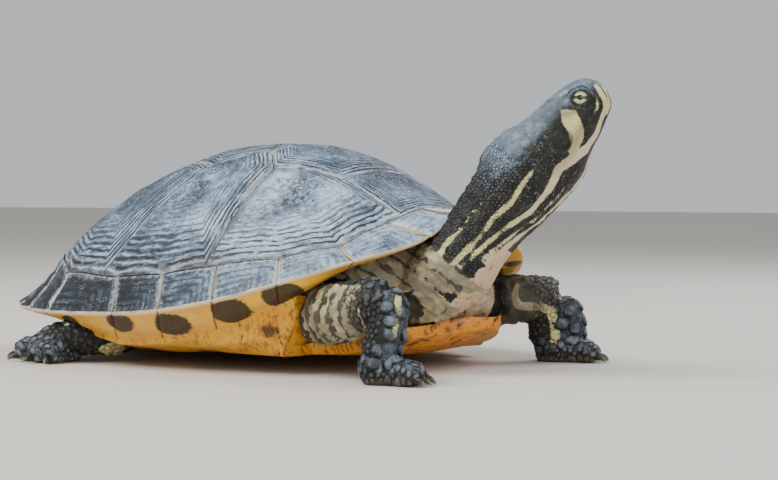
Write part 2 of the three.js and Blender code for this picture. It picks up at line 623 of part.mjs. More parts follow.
const TAIL = limb([[-88, 0, 17, 9, 9, 11], [-102, 1, 12.6, 6.2, 6.6, 7.5], [-114, 3, 9.4, 4.6, 4.8, 5],
  [-126, 7.5, 6.4, 3.2, 3.4, 3.4], [-136, 12.5, 4.2, 2.1, 2.2, 2.2], [-143, 17.5, 2.9, 0.9, 1, 0.9]]);

// ---------------------------------------------------------------- assembly
const turtle = new THREE.Group();

function addPiece(name, geometry, material) {
  const mesh = new THREE.Mesh(geometry, material);
  mesh.name = name;
  turtle.add(mesh);
}

const sides = [['right', -1], ['left', 1]];
const cutBy = (body, keepOuts) => keepOuts.reduce((left, keepOut) => left.subtract(keepOut), body);

const shellKeepOut = [];
const cutPiece = (geometry, keepOuts) => geometryOf(mainPiece(cutBy(solid(geometry), keepOuts)));

function addShell(name, geometry, material) {
  addPiece(name, cutPiece(geometry, shellKeepOut), material);
  shellKeepOut.push(grown(geometry));
}

for (const [word, side] of sides) addShell(`carapace_marginals_${word}`, marginals(side), HORN_SLATE);
addShell('carapace_nuchal', nuchal(), HORN_SLATE);
VERTEBRALS.forEach((corners, i) => {
  addPiece(`carapace_vertebral_${i + 1}`, plate(corners, 1), HORN_SLATE);
});
for (const [word, side] of sides) {
  PLEURALS.forEach((corners, i) => {
    addPiece(`carapace_pleural_${word}_${i + 1}`, plate(corners, side), HORN_SLATE);
  });
}
addShell('plastron_front_lobe', lobe(FRONT_LOBE), HORN_YELLOW);
addShell('plastron_rear_lobe', lobe(REAR_LOBE), HORN_YELLOW);
addShell('plastron_middle_and_bridges', middlePlastron(), HORN_YELLOW);

// Adds parts joined to one body of flesh, flat where it meets the floor, and returns them
// grown, to cut their neighbours with.
function addFlesh(name, parts, keepOuts) {
  const joined = wasm.Manifold.union(parts.map(solid));
  const cut = cutBy(joined, keepOuts).trimByPlane([0, 0, 1], 0);
  addPiece(name, geometryOf(mainPiece(cut)), SKIN_DARK);
  return wasm.Manifold.union(parts.map(grown));
}

const trunkGrown = addFlesh('trunk', [trunk()], shellKeepOut);
const neckGrown = addFlesh('neck', [neckTube], [trunkGrown, ...shellKeepOut]);
addFlesh('head', [headTube], sides.map(([, side]) => grown(eyeball(side))));
sides.forEach(([word, side]) => addPiece(`eye_${word}`, geometryOf(solid(eyeball(-side))), EYE_GREEN));
const tail = tube(TAIL, { rings: 8, sides: 10, across: v3(0, 1, 0) });
addFlesh('tail', [tail], [trunkGrown, ...shellKeepOut]);

for (const { name, across, acrossLower = across, upper, lower, foot } of LIMBS) {
  const body = [trunkGrown, neckGrown, ...shellKeepOut];
  const upperTube = tube(upper, { rings: 5, sides: 10, across });
  const upperGrown = addFlesh(`${name}_upper_leg`, [upperTube], body);
  const footGrown = addFlesh(`${name}_foot`, footParts(foot), []);
  const lowerTube = tube(lower, { rings: 4, sides: 10, across: acrossLower });
  addFlesh(`${name}_lower_leg`, [lowerTube], [upperGrown, footGrown, ...body]);
  for (let i = 0; i < foot.toes; i++) {
    addPiece(`${name}_claw_${i + 1}`, cutPiece(claw(foot, i), [footGrown]), CLAW_HORN);
  }
}

// The origin is the middle of the box's underside.
const box = new THREE.Box3().setFromObject(turtle);
const middle = box.getCenter(v3(0, 0, 0));
turtle.children.forEach((mesh) => mesh.geometry.translate(-middle.x, -middle.y, -box.min.z));

export default turtle;
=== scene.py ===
"""A life-size yellow-bellied slider turtle, standing with its neck stretched up and to its left.

Sizes are millimetres in the turtle's own frame: x runs from tail to nose, y to its left and z
up from the floor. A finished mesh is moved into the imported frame, in metres.
"""
from __future__ import annotations

import logging
import math
from contextlib import contextmanager
from dataclasses import dataclass, field
from enum import Enum, IntEnum
from typing import Callable, Iterable, Iterator, Sequence

import bmesh
import bpy
import numpy as np
from numpy import (arctan2, array, clip, cos, full, full_like, hypot, isin, maximum, minimum, sin, sqrt,
                   stack, where, zeros_like)
from numpy.linalg import norm
from mathutils import Matrix, Vector, noise
from mathutils.bvhtree import BVHTree
from mathutils.kdtree import KDTree


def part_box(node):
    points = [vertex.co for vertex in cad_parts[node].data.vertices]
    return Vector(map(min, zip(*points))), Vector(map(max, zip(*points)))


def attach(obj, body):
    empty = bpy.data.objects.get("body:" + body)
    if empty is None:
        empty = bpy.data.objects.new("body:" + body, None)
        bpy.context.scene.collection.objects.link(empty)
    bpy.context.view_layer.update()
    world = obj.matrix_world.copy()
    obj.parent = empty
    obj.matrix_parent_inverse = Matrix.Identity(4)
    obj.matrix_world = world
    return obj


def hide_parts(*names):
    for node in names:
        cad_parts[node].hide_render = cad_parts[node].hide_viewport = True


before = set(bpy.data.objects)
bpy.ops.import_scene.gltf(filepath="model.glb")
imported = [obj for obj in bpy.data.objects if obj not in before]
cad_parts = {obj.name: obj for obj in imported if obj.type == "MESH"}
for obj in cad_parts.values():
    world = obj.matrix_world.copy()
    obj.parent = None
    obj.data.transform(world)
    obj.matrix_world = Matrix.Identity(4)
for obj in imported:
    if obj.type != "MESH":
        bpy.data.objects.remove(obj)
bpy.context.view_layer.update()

LOG = logging.getLogger("turtle")
MM = 0.001  # metres in a millimetre
TINY = 1e-9
SEED = 7

Array = np.ndarray
Facts = dict[str, Array]
Place = Callable[[Array, Array, Array], "tuple[Array, Facts]"]
Corner = tuple[float, float]
Outline = tuple[list[Corner], Corner]  # a plate's corners and the place where it grew from


# ---------------------------------------------------------------- small shape maths
def lerp(a: Array | float, b: Array | float, t: Array | float) -> Array | float:
    """Blend from a to b."""
    return a + (b - a) * t


def smooth(value: Array, low: float, high: float) -> Array:
    """Rise smoothly from 0 at low to 1 at high."""
    t = clip((value - low) / (high - low), 0, 1)
    return t * t * (3 - 2 * t)


def bell(value: Array, width: float) -> Array:
    """A bell curve, 1 at zero."""
    return np.exp(-((value / width) ** 2))


def between_ends(share: Array, cap: float) -> Array:
    """The share of the way from one end row to the other, each cap high."""
    return clip((share - cap) / (1 - 2 * cap), 0, 1)


def at_ends(share: Array, cap: float) -> Array:
    """Whether a share of the way lies in the nearer half of an end row, cap high."""
    return (share < cap / 2) | (share > 1 - cap / 2)


def unit(vectors: Array) -> Array:
    """Vectors scaled to length 1."""
    return vectors / maximum(norm(vectors, axis=-1, keepdims=True), TINY)


def soft_max(a: Array, b: Array, width: float) -> Array:
    """The larger of two values, rounded where they cross."""
    return (a + b + sqrt((a - b) ** 2 + width * width)) / 2


def roughness_at(points: Array, size: float, octaves: int = 3) -> Array:
    """Smooth noise from about -1 to 1 at each point, with lumps up to size millimetres wide."""
    return array([noise.fractal(Vector(p), 0.5, 2.0, octaves) for p in points / size])


def polyline_distance(points: Array, line: Array, widths: Array) -> Array:
    """Distance from points to the edge of a stripe along a line of knots.

    Args:
        points: places, n by k.
        line: knots of the stripe's middle, m by k.
        widths: half width of the stripe at each knot.

    Returns:
        Distances, less than zero inside the stripe.
    """
    best = full(len(points), 1e6)
    for a, b, wa, wb in zip(line, line[1:], widths, widths[1:]):
        along = b - a
        t = clip((points - a) @ along / max(along @ along, TINY), 0, 1)
        gap = norm(points - a - t[:, None] * along, axis=1) - lerp(wa, wb, t)
        best = minimum(best, gap)
    return best


def polygon_distance(points: Array, corners: Array) -> Array:
    """Distance from points in a plane to the edge of a polygon, less than zero inside.

    Args:
        points: places in a plane.
        corners: the polygon's corners, in order.

    Returns:
        One distance for each place.
    """
    inside = np.zeros(len(points), bool)
    best = full(len(points), 1e6)
    for a, b in zip(corners, np.roll(corners, -1, axis=0)):
        along = b - a
        t = clip((points - a) @ along / max(along @ along, TINY), 0, 1)
        best = minimum(best, norm(points - a - t[:, None] * along, axis=1))
        crosses = (a[1] > points[:, 1]) != (b[1] > points[:, 1])
        rise = along[1] if abs(along[1]) > TINY else TINY
        inside ^= crosses & (points[:, 0] < a[0] + along[0] * (points[:, 1] - a[1]) / rise)
    return where(inside, -best, best)


@dataclass(frozen=True)
class Spline:
    """A smooth curve through knots, with one value or more at each."""

    knots: Array
    centripetal: bool = False

    def at(self, t: Array) -> Array:
        """Places along the curve.

        Args:
            t: shares of the way from the first knot to the last.

        Returns:
            One row of values for each share.
        """
        knots = self.knots
        ends = np.vstack([2 * knots[0] - knots[1], knots, 2 * knots[-1] - knots[-2]])
        place = clip(t, 0, 1) * (len(knots) - 1)
        i = minimum(place.astype(int), len(knots) - 2)
        w = (place - i)[:, None]
        a, b, c, d = (ends[i + k] for k in range(4))
        if self.centripetal:
            ab, bc, cd = (sqrt(norm(q - p, axis=1, keepdims=True)) for p, q in
                          ((a, b), (b, c), (c, d)))
            leave = ((b - a) / ab - (c - a) / (ab + bc) + (c - b) / bc) * bc
            arrive = ((c - b) / bc - (d - b) / (bc + cd) + (d - c) / cd) * bc
        else:
            leave, arrive = (c - a) / 2, (d - b) / 2
        return (b + leave * w + (3 * (c - b) - 2 * leave - arrive) * w ** 2
                + (2 * (b - c) + leave + arrive) * w ** 3)


# ---------------------------------------------------------------- frames of reference
NECK_BASE = array([106.0, -8.8, 40.0])
NECK_HEADING = math.radians(35)
NECK_RISE = math.radians(51)
HEAD_AXIS = array([math.cos(NECK_HEADING) * math.cos(NECK_RISE),
                   math.sin(NECK_HEADING) * math.cos(NECK_RISE), math.sin(NECK_RISE)])
HEAD_RIGHT = array([math.sin(NECK_HEADING), -math.cos(NECK_HEADING), 0.0])
HEAD_TOP = np.cross(HEAD_RIGHT, HEAD_AXIS)
HEAD_FRAME = array([HEAD_AXIS, HEAD_TOP, HEAD_RIGHT])
EYE = array([78.7, 3.1, 6.9])  # along, up and out
EYE_RADIUS = 4.3
BAR_FRONT = array([0.61, -0.79, 0])  # the way along the eye's dark bar to its front corner
BAR_ABOVE = array([0.79, 0.61, 0])

SHELL_PITCH = math.radians(3.6)  # nose up
SHELL_ROLL = math.radians(-1.1)  # leaning to the left
SHELL_LIFT = 19.3  # the side rim over the floor


def on_head(points: Array) -> Array:
    """Places given along, up and out from the neck's base, in the turtle's frame."""
    return NECK_BASE + np.asarray(points, float) @ HEAD_FRAME


def in_head(points: Array) -> Array:
    """Places in the turtle's frame, as along, up and out from the neck's base."""
    return (points - NECK_BASE) @ HEAD_FRAME.T


def on_shell(x: Array, y: Array, z: Array) -> Array:
    """Places given level in the shell, in the turtle's frame.

    Args:
        x: how far forward.
        y: how far left.
        z: how high.

    Returns:
        The same places in the turtle's frame.
    """
    y, z = (y * math.cos(SHELL_ROLL) - z * math.sin(SHELL_ROLL),
            y * math.sin(SHELL_ROLL) + z * math.cos(SHELL_ROLL))
    return stack([x * math.cos(SHELL_PITCH) - z * math.sin(SHELL_PITCH), y,
                  x * math.sin(SHELL_PITCH) + z * math.cos(SHELL_PITCH) + SHELL_LIFT], axis=-1)


def frame_origin() -> Array:
    """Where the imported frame's origin lies, found from the right eye's node."""
    low, high = (array(corner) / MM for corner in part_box("eye_right"))
    return on_head(EYE) - (low + high) / 2


ORIGIN = frame_origin()


# ---------------------------------------------------------------- meshes
def read_points(mesh: bpy.types.Mesh) -> Array:
    """The mesh's points, n by 3.

    Args:
        mesh: the mesh.

    Returns:
        One row for each point.
    """
    points = np.empty(len(mesh.vertices) * 3, np.float32)
    mesh.vertices.foreach_get("co", points)
    return points.reshape(-1, 3).astype(float)


def read_normals(mesh: bpy.types.Mesh) -> Array:
    """The direction that the mesh faces at each point.

    Args:
        mesh: the mesh.

    Returns:
        One unit vector for each point.
    """
    normals = np.empty(len(mesh.vertices) * 3, np.float32)
    mesh.vertex_normals.foreach_get("vector", normals)
    return normals.reshape(-1, 3).astype(float)


def write_points(mesh: bpy.types.Mesh, points: Array) -> None:
    """Move the mesh's points."""
    mesh.vertices.foreach_set("co", points.astype(np.float32).ravel())
    mesh.update()


def write_facts(mesh: bpy.types.Mesh, facts: Facts) -> None:
    """Keep one number or vector for each point, for the finishes to read.

    Args:
        mesh: the mesh.
        facts: what to keep, by name.
    """
    for name, values in facts.items():
        kind, key = ("FLOAT", "value") if values.ndim == 1 else ("FLOAT_VECTOR", "vector")
        layer = mesh.attributes.get(name) or mesh.attributes.new(name, kind, "POINT")
        layer.data.foreach_set(key, values.astype(np.float32).ravel())


@contextmanager
def shaping(mesh: bpy.types.Mesh) -> Iterator[bmesh.types.BMesh]:
    """Lend a mesh out for bmesh's operators and keep what they make of it.

    Args:
        mesh: the mesh.

    Yields:
        Its editable form.
    """
    bm = bmesh.new()
    bm.from_mesh(mesh)
    yield bm
    bm.to_mesh(mesh)
    bm.free()


def closed(mesh: bpy.types.Mesh, weld: float = 1e-4) -> bpy.types.Mesh:
    """Merge a mesh's doubles, close what stays open and turn its faces outwards.

    Args:
        mesh: the mesh.
        weld: how close two points are merged.

    Returns:
        The same mesh, mended.
    """
    with shaping(mesh) as bm:
        bmesh.ops.remove_doubles(bm, verts=bm.verts, dist=weld)
        bmesh.ops.holes_fill(bm, edges=[e for e in bm.edges if e.is_boundary], sides=0)
        bmesh.ops.recalc_face_normals(bm, faces=bm.faces)
    return mesh


def grids(name: str, columns: int, rows: int, place: Place, count: int = 1) -> bpy.types.Mesh:
    """Bend flat grids into closed surfaces.

    Args:
        name: the mesh's name.
        columns: faces across each grid.
        rows: faces up each grid.
        place: gives points in millimetres, and facts, for grid numbers, u and v.
        count: how many grids there are.

    Returns:
        The closed mesh, still in millimetres.
    """
    mesh = bpy.data.meshes.new(name)
    with shaping(mesh) as bm:
        for i in range(count):
            bmesh.ops.create_grid(bm, x_segments=columns, y_segments=rows, size=0.5,
                                  matrix=Matrix.Translation((2 * i + 0.5, 0.5, 0)))
    flat = read_points(mesh)
    index = np.floor(flat[:, 0] / 2 + 0.25).astype(int)
    u, v = clip(flat[:, 0] - 2 * index, 0, 1), clip(flat[:, 1], 0, 1)
    points, facts = place(index, u, v)
    write_points(mesh, points)
    write_facts(mesh, facts)
    return closed(mesh)


def joined(name: str, meshes: Sequence[bpy.types.Mesh]) -> bpy.types.Mesh:
    """One plain mesh from several.

    Args:
        name: its name.
        meshes: what to join; they are used up.

    Returns:
        The new mesh.
    """
    result = bpy.data.meshes.new(name)
    with shaping(result) as bm:
        for mesh in meshes:
            bm.from_mesh(mesh)
            bpy.data.meshes.remove(mesh)
    return result


def modified(mesh: bpy.types.Mesh, kind: str, settings: dict[str, object]) -> bpy.types.Mesh:
    """A mesh with one modifier's result applied.

    Args:
        mesh: the mesh to change.
        kind: the modifier's type.
        settings: what is set on the modifier.

    Returns:
        The new mesh; the old one is gone.
    """
    holder = bpy.data.objects.new("holder", mesh)
    bpy.context.scene.collection.objects.link(holder)
    modifier = holder.modifiers.new("step", kind)
    for key, value in settings.items():
        setattr(modifier, key, value)
    graph = bpy.context.evaluated_depsgraph_get()
    result = bpy.data.meshes.new_from_object(holder.evaluated_get(graph))
    bpy.data.objects.remove(holder)
    bpy.data.meshes.remove(mesh)
    return result


def make_piece(name: str, mesh: bpy.types.Mesh, material: bpy.types.Material,
               nodes: Iterable[str] = ()) -> bpy.types.Object:
    """Turn a mesh in millimetres into a finished piece of the model.

    Args:
        name: the piece's name.
        mesh: its shape in the turtle's frame.
        material: its finish.
        nodes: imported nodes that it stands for.

    Returns:
        The new object.
    """
    write_points(mesh, (read_points(mesh) - ORIGIN) * MM)
    mesh.shade_smooth()
    mesh.materials.clear()
    mesh.materials.append(material)
    piece = bpy.data.objects.new(name, mesh)
    bpy.context.scene.collection.objects.link(piece)
    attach(piece, "root")
    nodes = list(nodes)
    if nodes:
        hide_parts(*nodes)
    mesh.calc_loop_triangles()
    LOG.info("%s: %d triangles", name, len(mesh.loop_triangles))
    return piece


# ---------------------------------------------------------------- material graphs
class Socket:
    """One output of a material node, with arithmetic."""

    def __init__(self, graph: "Graph", output: bpy.types.NodeSocket | None) -> None:
        """Keep the graph and the output."""
        self.graph = graph
        self.output = output

    def __add__(self, other: "Value") -> "Socket":
        """Self plus other."""
        return self.graph.math("ADD", self, other)

    def __radd__(self, other: "Value") -> "Socket":
        """Other plus self."""
        return self.graph.math("ADD", other, self)

    def __sub__(self, other: "Value") -> "Socket":
        """Self minus other."""
        return self.graph.math("SUBTRACT", self, other)

    def __rsub__(self, other: "Value") -> "Socket":
        """Other minus self."""
        return self.graph.math("SUBTRACT", other, self)

    def __mul__(self, other: "Value") -> "Socket":
        """Self times other."""
        return self.graph.math("MULTIPLY", self, other)

    def __rmul__(self, other: "Value") -> "Socket":
        """Other times self."""
        return self.graph.math("MULTIPLY", other, self)

    def __truediv__(self, other: "Value") -> "Socket":
        """Self over other."""
        return self.graph.math("DIVIDE", self, other)

    def __rtruediv__(self, other: "Value") -> "Socket":
        """Other over self."""
        return self.graph.math("DIVIDE", other, self)

    def wave(self) -> "Socket":
        """A sine from 0 to 1, one wave for each whole number."""
        return self.graph.math("SINE", self * math.tau) * 0.5 + 0.5

    def step(self, low: float, high: float) -> "Socket":
        """Rise smoothly from 0 at low to 1 at high, or fall where low is above high.

        Args:
            low: where it is 0.
            high: where it is 1.

        Returns:
            The share, between 0 and 1.
        """
        low_first = low < high
        settings = {"interpolation_type": "SMOOTHSTEP"}
        sockets = {0: self, 1: min(low, high), 2: max(low, high), 3: 0.0 if low_first else 1.0,
                   4: 1.0 if low_first else 0.0}
        return self.graph.node("ShaderNodeMapRange", settings, sockets)


Value = Socket | float
Colour = tuple[float, float, float, float]


def tint(code: int) -> Colour:
    """A linear colour from a hexadecimal one as seen on a screen.

    Args:
        code: two digits each of red, green and blue.

    Returns:
        Red, green, blue and an alpha of 1.
    """
    parts = [(code >> shift & 255) / 255 for shift in (16, 8, 0)]
    linear = [c / 12.92 if c <= 0.04045 else ((c + 0.055) / 1.055) ** 2.4 for c in parts]
    return (*linear, 1.0)


class Graph:
    """The nodes of one material."""

    def __init__(self, name: str) -> None:
        """Start an empty material.

        Args:
            name: the material's name.
        """
        self.material = bpy.data.materials.new(name)
        self.material.use_nodes = True
        self.tree = self.material.node_tree
        self.tree.nodes.clear()

    def node(self, kind: str, settings: dict[str, object], sockets: dict[int | str, object],
             output: int | str | None = 0) -> Socket:
        """Make one node.

        Args:
            kind: the node's type.
            settings: properties that are set before its sockets.
            sockets: values or linked outputs for its inputs.
            output: which of its outputs is wanted.

        Returns:
            The wanted output.
        """
        made = self.tree.nodes.new(kind)
        for key, value in settings.items():
            setattr(made, key, value)
        for key, value in sockets.items():
            if isinstance(value, Socket):
                self.tree.links.new(value.output, made.inputs[key])
            else:
                made.inputs[key].default_value = value
        return Socket(self, None if output is None else made.outputs[output])

    def math(self, operation: str, a: Value, b: Value = 0.0) -> Socket:
        """One sum."""
        return self.node("ShaderNodeMath", {"operation": operation}, {0: a, 1: b})

    def place(self) -> Socket:
        """The point's place on the object, in metres."""
        return self.node("ShaderNodeTexCoord", {}, {}, "Object")

    def fact(self, name: str) -> Socket:
        """One number kept at each point."""
        return self.node("ShaderNodeAttribute", {"attribute_name": name}, {}, "Fac")

    def fact_vector(self, name: str) -> Socket:
        """Three numbers kept at each point."""
        return self.node("ShaderNodeAttribute", {"attribute_name": name}, {}, "Vector")

    def stretched(self, vector: Socket, scale: tuple[float, float, float]) -> Socket:
        """A vector with each part scaled by itself."""
        return self.node("ShaderNodeVectorMath", {"operation": "MULTIPLY"}, {0: vector, 1: scale})

    def cloud(self, size: float, detail: float = 3.0, vector: Socket | None = None,
              roughness: float = 0.55) -> Socket:
        """Noise from 0 to 1.

        Args:
            size: width of its lumps in millimetres, or in the vector's own unit over 1000.
            detail: how many finer layers it has.
            vector: where it is read, or the place on the object.
            roughness: how strong the finer layers are.

        Returns:
            The noise.
        """
        return self.node("ShaderNodeTexNoise", {}, {
            "Vector": vector or self.place(), "Scale": 1 / (size * MM), "Detail": detail,
            "Roughness": roughness})

    def cells(self, size: float, feature: str = "F1", output: str = "Distance") -> Socket:
        """A pattern of cells of a size in millimetres."""
        return self.node("ShaderNodeTexVoronoi", {"feature": feature}, {
            "Vector": self.place(), "Scale": 1 / (size * MM)}, output)

    def blend(self, share: Value, a: Socket | Colour, b: Socket | Colour) -> Socket:
        """A colour that goes from a to b."""
        return self.node("ShaderNodeMix", {"data_type": "RGBA"}, {0: share, 6: a, 7: b}, 2)

    def layered(self, colour: Socket | Colour, *layers: tuple[Value, Socket | Colour]) -> Socket | Colour:
        """Lay colours over a first one, each with its share, in order.

        Args:
            colour: the lowest layer.
            layers: pairs of a share and a colour, lowest first.

        Returns:
            The colour seen from above.
        """
        for share, over in layers:
            colour = self.blend(share, colour, over)
        return colour

    def relief(self, height: Socket, depth: float, under: Socket | None = None) -> Socket:
        """A bump.

        Args:
            height: its height from 0 to 1.
            depth: how many millimetres 1 stands up.
            under: a bump that it is laid on.

        Returns:
            The bumped direction.
        """
        sockets = {"Height": height, "Distance": depth * MM, "Strength": 1.0}
        if under is not None:
            sockets["Normal"] = under
        return self.node("ShaderNodeBump", {}, sockets)

    def finish(self, colour: Socket | Colour, roughness: Value, normal: Socket | None,
               fixed: dict[str, float]) -> bpy.types.Material:
        """Close the graph with its surface.

        Args:
            colour: the base colour.
            roughness: how rough it is.
            normal: the bumped direction, if there is one.
            fixed: other sockets of the surface, the same all over.

        Returns:
            The material.
        """
        sockets = {"Base Color": colour, "Roughness": roughness, "Specular IOR Level": 0.28, **fixed}
        if normal is not None:
            sockets["Normal"] = normal
        surface = self.node("ShaderNodeBsdfPrincipled", {}, sockets)
        self.node("ShaderNodeOutputMaterial", {}, {"Surface": surface}, None)
        return self.material


# ---------------------------------------------------------------- finishes
DRY_HORN = {"Coat Weight": 0.12, "Coat Roughness": 0.3}  # the same all over


@dataclass(frozen=True)
class ShellHorn:
    """Dry slate-coloured horn with growth rings, a whitish bloom, pale seams, and painted reflection,
    highlights and shade.
    """

    dark: Colour = tint(0x0C1318)
    slate: Colour = tint(0x50647A)
    # the bloom's colour, also used for painted highlights and painted reflection
    chalk_and_highlight: Colour = tint(0xC2D6E8)
    brown: Colour = tint(0x574A3E)
    seam: Colour = tint(0xC6C0B2)
    rings: float = 17.0  # growth rings from the middle to the edge
    wander: float = 1.3  # how many rings' width a ring strays

    def material(self) -> bpy.types.Material:
        """Make the finish; it reads ring, edge, low, sheen and spin from the plates.

        Returns:
            The material.
        """
        g = Graph("carapace_horn")
        ring, edge, low = g.fact("ring"), g.fact("edge"), g.fact("low")
        drift, grain, patch = g.cloud(9.0, 3.0), g.cloud(0.8, 3.0), g.cloud(17.0, 6.0, None, 0.66)
        scuffs = g.cloud(1.6, 5.0, None, 0.7)
        lines = g.cloud(60.0, 5.0, g.stretched(g.fact_vector("spin"), (0.3, 0.3, 2.8)), 0.72)
        wave = (ring * self.rings + drift * self.wander + scuffs * 0.25).wave()
        outer = (ring + low * 0.3 + (patch - 0.5) * 0.5).step(0.42, 0.86)
        # painted_sheen adds painted reflection towards the front and top of the dome
        mixed = patch * 0.9 + lines * 0.8 + scuffs * 0.45 + g.fact("painted_sheen") * 0.2
        bloom_and_sheen = mixed.step(1.06, 1.44)
        old = (ring + (patch - 0.5) * 0.9).step(0.50, 0.16)
        speckle = g.cells(0.9).step(0.36, 0.12) * g.cloud(6.0).step(0.42, 0.6)
        # crease marks the grooves between growth rings, which are painted darker as painted shade
        crease = wave.step(0.34, 0.06) * outer * g.cloud(7.0, 3.0).step(0.34, 0.52)
        pale = (edge + drift * 1.6 - 0.8).step(1.2, 0.3) * g.cloud(5.0).step(0.30, 0.5)
        colour = g.layered(
            self.dark,
            ((mixed - 0.66).step(0.16, 0.52), self.slate),
            (bloom_and_sheen * 0.88, self.chalk_and_highlight),
            (old * 0.62 * scuffs.step(0.62, 0.42), self.dark),
            (speckle * (0.3 + 0.55 * old), self.chalk_and_highlight),
            (low * 0.66 * (0.55 + drift * 0.6), self.brown),
            # painted highlights on the growth rings' crests, then painted shade in their grooves
            (wave.step(0.62, 1.0) * outer * lines.step(0.4, 0.6) * 0.6, self.chalk_and_highlight),
            (crease * 0.94, self.dark),
            (pale * (0.8 - low * 0.6), self.seam))
        bump = g.relief(lines * 0.8 + scuffs * 0.5, 0.24)
        bump = g.relief(wave * outer - crease, 0.3, bump)
        bump = g.relief(g.cloud(0.35, 2.0), 0.05, bump)
        return g.finish(colour, 0.42 + 0.2 * grain + 0.12 * bloom_and_sheen, bump, DRY_HORN)


@dataclass(frozen=True)
class RimHorn:
    """The marginals: slate above, a cream edge, and yellow with dark blotches below, with painted
    reflection and painted light.
    """

    dark: Colour = tint(0x0B1115)
    slate: Colour = tint(0x4C6074)
    chalk_and_highlight: Colour = tint(0xBCD0E4)
    cream: Colour = tint(0xE2D8BC)
    yellow: Colour = tint(0xE8B23E)
    orange: Colour = tint(0xCC8236)
    # painted light on the underside of the front marginals
    gold: Colour = tint(0xFFCF1E)
    blotch: Colour = tint(0x1C1B1A)
    dust: Colour = tint(0x8A8378)
    stain: Colour = tint(0x6A4A22)

    def material(self) -> bpy.types.Material:
        """Make the finish; it reads ring, edge, under, blotch, glow and sheen.

        Returns:
            The material.
        """
        g = Graph("rim_horn")
        ring, edge, under, painted_sheen = g.fact("ring"), g.fact("edge"), g.fact("under"), g.fact("painted_sheen")
        drift, grain, scuffs = g.cloud(7.0), g.cloud(0.8), g.cloud(1.8, 5.0, None, 0.7)
        fine = (ring * 6.0 + drift * 0.8 + grain * 0.2).wave()
        mixed = drift * 0.45 + scuffs * 0.7 + fine * 0.1 + g.cloud(12.0, 5.0, None, 0.65) * 0.7
        above = g.layered(
            self.dark,
            # painted_sheen lightens the front marginals with painted reflection
            ((mixed + painted_sheen * 0.42).step(0.9, 1.45), self.slate),
            ((mixed + painted_sheen * 0.4).step(1.15, 1.7) * 0.85, self.chalk_and_highlight),
            (g.cells(0.8).step(0.33, 0.12) * g.cloud(5.0).step(0.45, 0.6) * 0.6, self.chalk_and_highlight),
            # painted shade in the fine growth grooves
            (fine.step(0.3, 0.05) * (0.85 - painted_sheen * 0.65) * drift.step(0.35, 0.55), self.dark),
            ((edge + drift * 3.0 - 1.5).step(3.4, 1.0) * scuffs.step(0.4, 0.6) * 0.6, self.chalk_and_highlight),
            ((edge + drift * 0.8 - 0.4).step(1.1, 0.35) * 0.75, self.cream))
        spot = (g.fact("blotch") + (drift - 0.5) * 2.6 + (g.cloud(1.2) - 0.5) * 1.6).step(0.45, -0.45)
        dirt = g.cells(1.1).step(0.30, 0.1) * g.cloud(3.0).step(0.35, 0.6)
        below = g.layered(
            self.yellow,
            ((g.cloud(14.0) + 0.25 * g.cloud(1.4, 4.0)).step(0.45, 0.85) * 0.6, self.orange),
            (g.cloud(2.2, 4.0).step(0.56, 0.72) * 0.35, self.cream),
            # glow: painted light on the underside of the front marginals, which faces the floor
            (g.fact("glow"), self.gold),
            (spot * 0.94, g.blend(dirt * 0.45, self.blotch, self.dust)),
            (edge.step(0.45, 0.1) * 0.55, self.stain))
        lip = under + drift - 0.5
        colour = g.layered(above, ((under + drift * 1.6 - 0.8).step(-0.9, 0.3), below),
                           (lip.step(-1.0, -0.1) * lip.step(1.6, 0.4) * 0.7, self.cream))
        bump = g.relief(fine * (0.8 - painted_sheen * 0.5) + grain * 0.5 + scuffs * 0.6, 0.16)
        bump = g.relief(g.cloud(0.35, 2.0), 0.05, bump)
        return g.finish(colour, 0.4 + 0.22 * grain, bump, DRY_HORN)


@dataclass(frozen=True)
class BellyHorn:
    """The plastron: worn orange and yellow horn with brown growth streaks and smudges."""

    yellow: Colour = tint(0xE6B232)
    orange: Colour = tint(0xE28E1E)
    brown: Colour = tint(0x5A3A1E)
    dark: Colour = tint(0x241D17)
    cream: Colour = tint(0xE8D4A0)

    def material(self) -> bpy.types.Material:
        """Make the finish; it reads front, smudge and seam.

        Returns:
            The material.
        """
        g = Graph("plastron_horn")
        drift, grain, front = g.cloud(8.0), g.cloud(0.9), g.fact("front")
        streaks = g.cloud(3.0, 5.0, g.stretched(g.place(), (2.4, 0.5, 1.2)))
        growth = (front * 46.0 + drift * 2.5 + grain * 0.4).wave().step(0.28, 0.05)
        smudge = (g.fact("smudge") + (drift - 0.5) * 4 + (streaks - 0.5) * 5).step(0.8, -0.8)
        colour = g.layered(
            self.yellow,
            ((front * 0.6 + drift * 0.9).step(0.4, 1.0), self.orange),
            (streaks.step(0.50, 0.68) * (0.5 + 0.35 * front), self.brown),
            (growth * front * g.cloud(5.0).step(0.42, 0.58) * 0.85, self.dark),
            (smudge * 0.85, self.dark),
            ((g.fact("seam") + drift * 0.3 - 0.15).step(0.5, 0.1) * 0.85, self.dark),
            (g.cells(1.3).step(0.25, 0.08) * drift.step(0.45, 0.6) * 0.4, self.cream))
        bump = g.relief(streaks * 0.8 + grain * 0.4, 0.22)
        return g.finish(colour, 0.38 + 0.25 * grain, bump, {"Coat Weight": 0.1, "Coat Roughness": 0.3})


